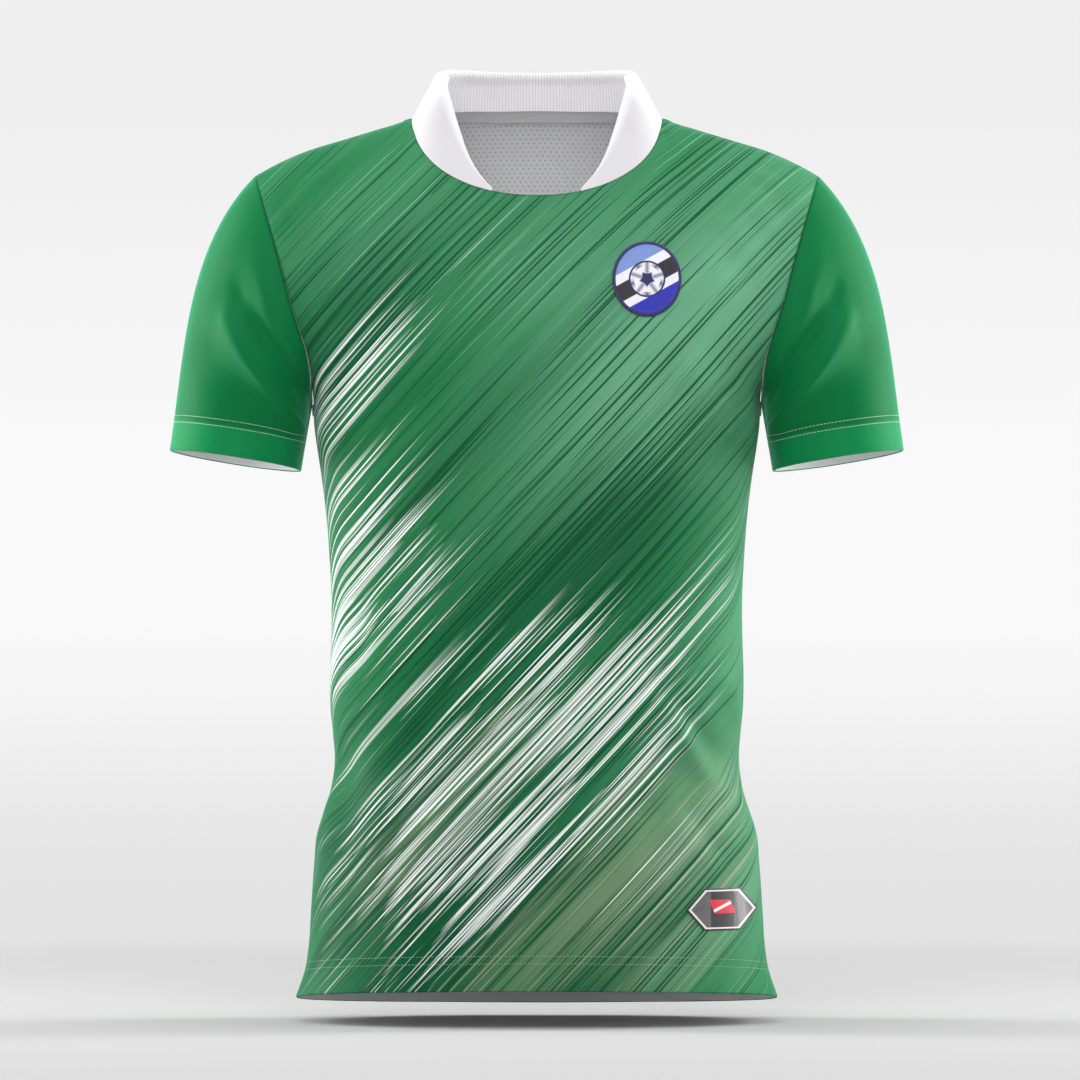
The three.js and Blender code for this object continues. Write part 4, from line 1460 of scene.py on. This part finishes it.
@dataclass
class Patch:
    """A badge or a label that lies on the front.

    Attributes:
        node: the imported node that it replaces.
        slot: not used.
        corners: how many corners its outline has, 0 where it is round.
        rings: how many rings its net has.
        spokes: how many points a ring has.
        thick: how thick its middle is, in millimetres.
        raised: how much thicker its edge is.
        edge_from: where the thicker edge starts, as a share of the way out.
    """

    node: str
    slot: str
    corners: int
    thick: float
    raised: float
    edge_from: float
    rings: int = 26
    spokes: int = 144
    piece: bpy.types.Object = field(init=False)

    def outline(self, half: np.ndarray) -> np.ndarray:
        """Returns the outline's points round its middle.

        Args:
            half: half its width and half its height.

        Returns:
            The points, across and up.
        """
        turn = np.linspace(0, math.tau, self.spokes, endpoint=False)
        if not self.corners:
            return np.stack([np.cos(turn), np.sin(turn)], -1) * half
        corners = np.array([(1, 0), (0.5, 1), (-0.5, 1), (-1, 0), (-0.5, -1), (0.5, -1)]) * half
        ends = np.roll(corners, -1, axis=0)
        each = self.spokes // self.corners
        shares = np.linspace(0, 1, each, endpoint=False)[None, :, None]
        return (corners[:, None] * (1 - shares) + ends[:, None] * shares).reshape(-1, 2)

    def make(self, front: Cloth, finish: bpy.types.Material) -> None:
        """Builds the patch on the front's own face.

        Args:
            front: the cloth that it lies on.
            finish: its material.
        """
        low, high = [np.array(corner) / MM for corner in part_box(self.node)]
        middle, half = (low + high) / 2, (high - low) / 2
        outline = self.outline(half[[0, 2]])
        shares = np.linspace(0.04, 1, self.rings) ** 0.9
        flat = outline[None] * shares[:, None, None]
        quads = quads_of(numbers_of(*front.points.shape[:2]))
        tree = BVHTree.FromPolygons(front.points.reshape(-1, 3).tolist(), quads.tolist())
        points = np.zeros((*flat.shape[:2], 3))
        for place in np.ndindex(flat.shape[:2]):
            start = Vector((middle[0] + flat[place][0], -400, middle[2] + flat[place][1]))
            points[place] = tree.ray_cast(start, Vector((0, 1, 0)))[0]
        cloth = Cloth(points, True, points + np.array([0, 50, 0]))
        ramp = np.clip((shares - self.edge_from) / 0.05, 0, 1)
        aside = (shares - (1 + self.edge_from) / 2) / (1.02 - self.edge_from) * 2
        bead = np.sqrt(np.clip(1 - aside**2, 0, 1))
        height = 0.25 + self.thick + self.raised * ramp * (0.4 + 0.6 * bead)
        cloth.move(np.repeat(height[:, None], self.spokes, 1))
        cloth.cut[..., :2] = flat
        cloth.cut[..., 2] = shares[:, None]
        thick = np.repeat(height[:, None] - 0.15, self.spokes, 1)
        self.piece = cloth.shell(self.node + "_face", thick, (finish, finish))
        self.close_middle(flat.shape[1])
        settle(self.piece, self.node)

    def close_middle(self, spokes: int) -> None:
        """Closes the small hole in the middle of both faces.

        Args:
            spokes: how many points a ring has.
        """
        mesh = self.piece.data
        total = self.rings * self.spokes
        rim_start = 2 * total
        drop = {rim_start + k for k in range(2 * spokes)}
        points = np.empty(len(mesh.vertices) * 3)
        mesh.vertices.foreach_get("co", points)
        points = points.reshape(-1, 3)
        faces = [list(p.vertices) for p in mesh.polygons if not drop.intersection(p.vertices)]
        top, under = list(range(spokes)), list(range(total, total + spokes))
        reference = faces[0]
        first = reference.index(0) if 0 in reference else 0
        ahead = reference[(first + 1) % 4] == 1
        faces.append(top[::-1] if ahead else top)
        faces.append(under if ahead else under[::-1])
        cut = np.empty(len(mesh.vertices) * 3, dtype=np.float32)
        mesh.attributes["cut"].data.foreach_get("vector", cut)
        shift = np.arange(len(points))
        shift[rim_start + 2 * spokes :] -= 2 * spokes
        kept = [k for k in range(len(points)) if k not in drop]
        fresh = bpy.data.meshes.new(mesh.name)
        fresh.from_pydata(points[kept].tolist(), [], [[int(shift[v]) for v in f] for f in faces])
        fresh.materials.append(mesh.materials[0])
        fresh.polygons.foreach_set("use_smooth", np.ones(len(fresh.polygons), dtype=bool))
        self.piece.data = fresh
        write_attribute(self.piece, "cut", cut.reshape(-1, 3)[kept])


@dataclass
class StitchRow:
    """A row of small stitches along a line on the cloth.

    Attributes:
        name: the piece's name.
        slot: not used.
        length: one stitch's length, in millimetres.
        pitch: the way from one stitch to the next.
        thread: half the thread's thickness.
    """

    name: str
    slot: str
    length: float = 2.5
    pitch: float = 3.05
    thread: float = 0.2
    piece: bpy.types.Object = field(init=False)

    def stitches(self, line: np.ndarray, fronts: np.ndarray, closed: bool) -> tuple[np.ndarray, list]:
        """Builds the stitches of one line.

        Args:
            line: the line's points.
            fronts: the cloth's normals there.
            closed: whether the line closes on itself.

        Returns:
            The stitches' points, and their faces.
        """
        if closed:
            line, fronts = np.concatenate([line, line[:1]]), np.concatenate([fronts, fronts[:1]])
        ways = np.concatenate([[0], np.cumsum(np.linalg.norm(np.diff(line, axis=0), axis=1))])
        count = int(ways[-1] / self.pitch)
        centres = (np.arange(count) + 0.5) * ways[-1] / count
        shape = np.linspace(-1, 1, 6)
        at = centres[:, None] + shape[None] * self.length / 2
        spots = np.stack([np.interp(at, ways, line[:, k]) for k in range(3)], -1)
        up = unit(np.stack([np.interp(at, ways, fronts[:, k]) for k in range(3)], -1))
        run = unit(np.gradient(spots, axis=1))
        aside = np.cross(run, up)
        width = self.thread * np.sqrt(1.04 - shape**2)[None, :, None, None]
        lift = self.thread * (0.55 - 0.75 * shape**4)[None, :, None]
        turn = np.arange(6) * math.tau / 6
        sine, cosine = np.sin(turn)[None, None, :, None], np.cos(turn)[None, None, :, None]
        rings = (spots + up * lift)[:, :, None] + width * (up[:, :, None] * sine + aside[:, :, None] * cosine)
        faces = []
        for stitch in range(count):
            start = stitch * 36
            for ring in range(5):
                for k in range(6):
                    a, b = start + ring * 6 + k, start + ring * 6 + (k + 1) % 6
                    faces.append((a, a + 6, b + 6, b))
            faces.append(tuple(start + k for k in range(6)))
            faces.append(tuple(start + 30 + k for k in reversed(range(6))))
        return rings.reshape(-1, 3), faces

    def make(
        self, lines: Iterable[tuple[np.ndarray, np.ndarray]], closed: bool, finish: bpy.types.Material
    ) -> None:
        """Builds all of the row's lines as one piece.

        Args:
            lines: each line's points and normals.
            closed: whether the lines close on themselves.
            finish: the thread.
        """
        points, faces = [], []
        start = 0
        for line, fronts in lines:
            more, found = self.stitches(line, fronts, closed)
            faces.extend(tuple(v + start for v in f) for f in found)
            points.append(more)
            start += len(more)
        self.piece = make_piece(self.name, np.concatenate(points), faces, (finish,))
        settle(self.piece, None)


@dataclass
class SeamAllowance:
    """The overlocked edges of a seam, which lie flat inside the back.

    Attributes:
        width: how wide they lie, in millimetres.
        thick: how thick the two edges are together.
    """

    width: float = 7.0
    thick: float = 1.0
    pieces: list = field(default_factory=list)

    def make(self, back: Cloth, finish: bpy.types.Material) -> None:
        """Lays the allowances of both sides inside the back.

        Args:
            back: the back's cloth.
            finish: the overlock thread.
        """
        along = back.lengths(1)
        reach = int(np.searchsorted(along[len(along) // 3], self.width)) + 1
        columns = along.shape[1]
        for name, span in (("seam_right", slice(0, reach)), ("seam_left", slice(columns - reach, columns))):
            strip = back.part(slice(2, -1), span, KNIT + 0.35)
            thick = np.full(strip.points.shape[:2], self.thick)
            piece = strip.shell(name, thick, (finish, finish))
            settle(piece, None)
            self.pieces.append(piece)


@dataclass
class Studio:
    """A pale floor that meets a pale sky, soft lamps, and the camera.

    Attributes:
        floor_z: the floor's height, in millimetres.
        reach: how far the floor goes, in metres.
        pixel: how many millimetres of the object one pixel of the picture shows.
        distance: the way from the camera to the object, in metres.
    """

    GLOW_TONES = ((0.0, 225), (3.4, 228), (5.8, 232), (9.6, 238), (16.0, 245), (36.0, 249))
    floor_z: float = -723.0
    near_tone: int = 180
    reach: float = 36.0
    pixel: float = 0.8
    picture: int = 1080
    middle_x: float = 2.56
    middle_z: float = -337.6
    distance: float = 8.0
    sensor: float = 36.0

    def floor(self) -> None:
        """Builds the floor: plain diffuse near the object, and beyond that a painted glow that grows paler
        with the way from the object.
        """
        rings = [0.0, 0.4, 1.0, 2.0, 4.0, 8.0, 14.0, 22.0, self.reach]
        spokes = 64
        turn = np.linspace(0, math.tau, spokes, endpoint=False)
        circle = np.stack([np.cos(turn), np.sin(turn), np.zeros(spokes)], -1)
        points = np.concatenate([circle * max(r, 0.02) for r in rings]) / MM + [0, 0, self.floor_z]
        faces = [tuple(range(spokes)), *quads_of(numbers_of(len(rings), spokes, True))[:, ::-1].tolist()]
        shader = Shader("studio_floor")
        place = shader.node("ShaderNodeTexCoord", output="Object")
        parts = shader.node("ShaderNodeSeparateXYZ", inputs={0: place})
        right, away = parts, shader.of(parts, "Y")
        far = (right * right + away * away).power(0.5)
        stops = [(math.sqrt(way / self.reach), linear(*[tone] * 3)) for way, tone in self.GLOW_TONES]
        tone = shader.node("ShaderNodeValToRGB", {"stops": stops}, {0: (far / self.reach).power(0.5)})
        near = 1 - far.from_to(0.45, 1.7)
        finish = shader.dress(
            Base_Color=shader.mix(near, linear(0, 0, 0), linear(*[self.near_tone] * 3)),
            Roughness=0.9,
            Specular_IOR_Level=0.0,
            # Painted light: the floor beyond 0.45 m glows, and its glow grows paler further out.
            Emission_Color=shader.mix(near, tone, linear(0, 0, 0)),
            Emission_Strength=1.0,
        )
        make_piece("studio_floor", points, faces, (finish,))

    def sky(self) -> None:
        """Builds the dome behind, which is seen but sheds no light."""
        turns, heights = 64, 25
        rise = np.radians(np.linspace(-2, 90, heights))[:, None]
        turn = np.linspace(0, math.tau, turns, endpoint=False)[None]
        ball = [np.cos(rise) * np.cos(turn), np.cos(rise) * np.sin(turn), np.sin(rise) + 0 * turn]
        points = (np.stack(ball, -1) * self.reach).reshape(-1, 3)
        faces = quads_of(numbers_of(heights, turns, True))
        shader = Shader("studio_sky")
        place = shader.node("ShaderNodeTexCoord", output="Object")
        parts = shader.node("ShaderNodeSeparateXYZ", inputs={0: place})
        share = shader.of(parts, "Z").from_to(0.06, 1.5)
        glow = shader.mix(share, linear(249, 249, 249), linear(239, 239, 239))
        finish = shader.dress(
            Base_Color=linear(0, 0, 0),
            Roughness=1.0,
            Specular_IOR_Level=0.0,
            Emission_Color=glow,
            Emission_Strength=1.0,
        )
        dome = make_piece("studio_sky", points / MM, faces, (finish,))
        for ray in ("diffuse", "glossy", "transmission", "volume_scatter", "shadow"):
            setattr(dome, "visible_" + ray, False)

    def lamp(self, name: str, place: Sequence[float], size: Sequence[float], power: float) -> None:
        """Hangs one soft lamp that looks at the jersey's middle.

        Args:
            name: its name.
            place: where it hangs, in metres.
            size: its width and height, in metres.
            power: its power in watts.
        """
        data = bpy.data.lights.new(name, "AREA")
        data.shape = "RECTANGLE"
        data.size, data.size_y = size
        data.energy = power
        lamp = bpy.data.objects.new(name, data)
        lamp.location = place
        aim = Vector((0, 0, self.middle_z * MM)) - lamp.location
        lamp.rotation_euler = aim.to_track_quat("-Z", "Y").to_euler()
        bpy.context.scene.collection.objects.link(lamp)

    def light(self) -> None:
        """Sets the lamps and the even light all round."""
        self.lamp("key", (-0.2, -3.2, 2.5), (2.4, 2.0), 84)
        self.lamp("top", (0.0, 0.3, 2.2), (2.8, 1.2), 26)
        self.lamp("fill", (0.2, -4.0, -0.3), (2.0, 2.4), 26)
        self.lamp("left_side", (-2.8, -1.2, 0.7), (0.8, 2.0), 24)
        self.lamp("right_side", (2.8, -1.2, 0.7), (0.8, 2.0), 24)
        self.lamp("left_rim", (-1.9, 0.5, 0.0), (0.5, 2.2), 58)
        self.lamp("right_rim", (1.9, 0.5, 0.0), (0.5, 2.2), 58)
        world = bpy.data.worlds.new("studio")
        world.use_nodes = True
        ground = world.node_tree.nodes["Background"]
        ground.inputs["Color"].default_value = (1.0, 1.0, 1.0, 1.0)
        ground.inputs["Strength"].default_value = 0.3
        bpy.context.scene.world = world

    def camera(self) -> None:
        """Places the camera where the photograph was taken from."""
        data = bpy.data.cameras.new("camera")
        shown = self.pixel * self.picture * MM
        data.sensor_width = self.sensor
        data.lens = self.sensor * self.distance / shown
        data.clip_end = 100.0
        camera = bpy.data.objects.new("camera", data)
        camera.location = (self.middle_x * MM, -self.distance, self.middle_z * MM)
        camera.rotation_euler = (math.radians(90), 0, 0)
        bpy.context.scene.collection.objects.link(camera)
        bpy.context.scene.camera = camera
        bpy.context.scene.view_settings.view_transform = "Standard"


FRONT_BURSTS = (
    Burst(Tone.WHITE, -166, -416, 88, 44, 1.0),
    Burst(Tone.WHITE, -182, -330, 80, 30, 0.5),
    Burst(Tone.WHITE, -152, -500, 90, 26, 0.35),
    Burst(Tone.WHITE, -30, -528, 112, 34, 1.0),
    Burst(Tone.WHITE, 4, -582, 130, 28, 0.85),
    Burst(Tone.WHITE, -40, -548, 160, 60, 0.36),
    Burst(Tone.WHITE, -70, -496, 110, 22, 0.4),
    Burst(Tone.WHITE, -112, -526, 110, 24, 0.4),
    Burst(Tone.WHITE, 60, -440, 150, 26, 0.12),
    Burst(Tone.WHITE, 150, -360, 120, 30, 0.2),
    Burst(Tone.WHITE, -146, -206, 110, 28, 0.42),
    Burst(Tone.WHITE, 60, -632, 120, 20, 0.2),
    Burst(Tone.LIGHT, 136, -150, 170, 90, 0.85),
    Burst(Tone.LIGHT, 80, -230, 150, 60, 0.4),
    Burst(Tone.LIGHT, 172, -410, 180, 50, 0.34),
    Burst(Tone.LIGHT, 20, -90, 90, 60, 0.35),
    Burst(Tone.LIGHT, -120, -80, 110, 60, 0.35),
    Burst(Tone.LIGHT, 130, -560, 120, 50, 0.2),
    Burst(Tone.LIGHT, 156, -620, 110, 44, 0.45),
    Burst(Tone.DARK, -50, -590, 180, 70, 0.45),
    Burst(Tone.DARK, 60, -330, 170, 44, 0.8),
    Burst(Tone.DARK, -60, -420, 150, 44, 0.3),
    Burst(Tone.DARK, -146, -150, 110, 44, 0.6),
    Burst(Tone.DARK, 0, -210, 200, 24, 0.3),
    Burst(Tone.DARK, -136, -580, 130, 54, 0.75),
    Burst(Tone.DARK, -90, -690, 170, 44, 1.0),
    Burst(Tone.DARK, 40, -700, 150, 40, 0.8),
    Burst(Tone.KHAKI, 40, -616, 150, 34, 0.6),
    Burst(Tone.KHAKI, -80, -560, 130, 34, 0.45),
    Burst(Tone.KHAKI, 110, -590, 110, 24, 0.35),
    Burst(Tone.KHAKI, -95, -300, 110, 36, 0.12),
    Burst(Tone.KHAKI, 120, -660, 110, 34, 0.4),
)

BACK_BURSTS = (
    Burst(Tone.WHITE, 60, -520, 150, 44, 0.85),
    Burst(Tone.WHITE, -150, -300, 110, 48, 0.55),
    Burst(Tone.WHITE, 140, -250, 100, 26, 0.4),
    Burst(Tone.LIGHT, -40, -180, 190, 90, 0.65),
    Burst(Tone.LIGHT, 160, -420, 160, 50, 0.5),
    Burst(Tone.DARK, -40, -380, 150, 40, 0.6),
    Burst(Tone.DARK, -120, -620, 120, 60, 0.7),
    Burst(Tone.DARK, 120, -690, 200, 44, 0.6),
    Burst(Tone.KHAKI, 10, -600, 150, 40, 0.6),
    Burst(Tone.KHAKI, 60, -280, 120, 34, 0.35),
)

FRONT_CREASES = (
    Crease((82, -430), (156, -522), 11, -2.6),
    Crease((104, -462), (144, -538), 9, 2.4),
    Crease((116, -538), (154, -592), 10, -2.2),
    Crease((133, -516), (174, -562), 9, 1.8),
    Crease((150, -440), (178, -486), 10, 1.6),
    Crease((-150, -486), (-162, -592), 12, -2.8),
    Crease((-174, -496), (-179, -570), 9, 1.8),
    Crease((-141, -376), (-146, -442), 10, -2.2),
    Crease((-121, -520), (-134, -616), 13, 1.4),
    Crease((-187, -240), (-146, -200), 10, 1.5),
    Crease((190, -240), (150, -202), 10, 1.4),
    Crease((178, -16), (204, -22), 3.5, -0.8),
    Crease((178, -27), (203, -32), 3.5, 1.0),
    Crease((175, -39), (201, -42), 3.5, -1.0),
    Crease((-175, -30), (-201, -36), 4, 0.8),
)

BACK_CREASES = (
    Crease((-150, -470), (-20, -500), 16, 2.0),
    Crease((150, -486), (30, -520), 15, 1.8),
    Crease((-196, -236), (-140, -196), 11, 1.4),
    Crease((196, -236), (142, -198), 11, 1.4),
    Crease((-90, -60), (-60, -130), 10, 1.0),
    Crease((90, -60), (58, -128), 10, 1.0),
    Crease((-110, -600), (-140, -660), 12, 1.2),
)

SLEEVE_CREASES = (
    Crease((158, 32), (66, 108), 7.5, 3.0),
    Crease((176, 62), (94, 120), 7, -2.4),
    Crease((182, 78), (100, 128), 6, 2.4),
    Crease((132, 26), (56, 84), 10, -1.4),
    Crease((-152, 36), (-60, 104), 8, 2.8),
    Crease((-172, 66), (-90, 122), 7, -2.2),
    Crease((-178, 84), (-108, 126), 6, 2.0),
)


def main() -> None:
    """Builds the jersey piece by piece, then its studio."""
    logging.basicConfig(level=logging.INFO, format="%(message)s")
    backing = (EyeletBacking().make(), PlainBacking().make())
    white_thread = Thread("white_thread", linear(214, 222, 218)).make()
    front = Panel("front", (0, -1, 0), 0.0, FRONT_BURSTS, FRONT_CREASES)
    back = Panel("back", (0, 1, 0), 4.0, BACK_BURSTS, BACK_CREASES)
    sleeves = [Sleeve("sleeve_left", 1, SLEEVE_CREASES), Sleeve("sleeve_right", -1, SLEEVE_CREASES)]
    for part in (front, back, *sleeves):
        part.shape()
        part.dress(backing)
        log.info("%s is %.3f by %.3f m flat", part.node, *part.size())
    collar = Collar()
    collar.make()
    tape = NeckTape()
    tape.make()
    crest = Patch("crest_patch", "crest_weave", 0, 0.7, 0.5, 0.86)
    crest.make(front.cloth, BadgeWeave().make())
    label = Patch("hem_patch", "label_weave", 6, 0.45, 0.0, 0.96)
    label.make(front.cloth, LabelPrint().make())
    allowance = SeamAllowance()
    allowance.make(back.cloth, white_thread)
    hem = StitchRow("hem_stitches", "printed_knit", thread=0.15)
    hem_lines = [panel.cloth.level(up) for panel in (front, back) for up in HEM_STITCHES]
    hem.make(hem_lines, False, Thread("hem_thread", linear(138, 176, 156)).make())
    cuffs = StitchRow("cuff_stitches", "sleeve_knit")
    cuffs.make([sleeve.cloth.level(up) for sleeve in sleeves for up in CUFF_STITCHES], True, white_thread)
    front.size()
    back.size()
    sleeves[0].size()
    sleeves[1].size()
    studio = Studio()
    studio.floor()
    studio.sky()
    studio.light()
    studio.camera()


if __name__ == "__main__":
    main()
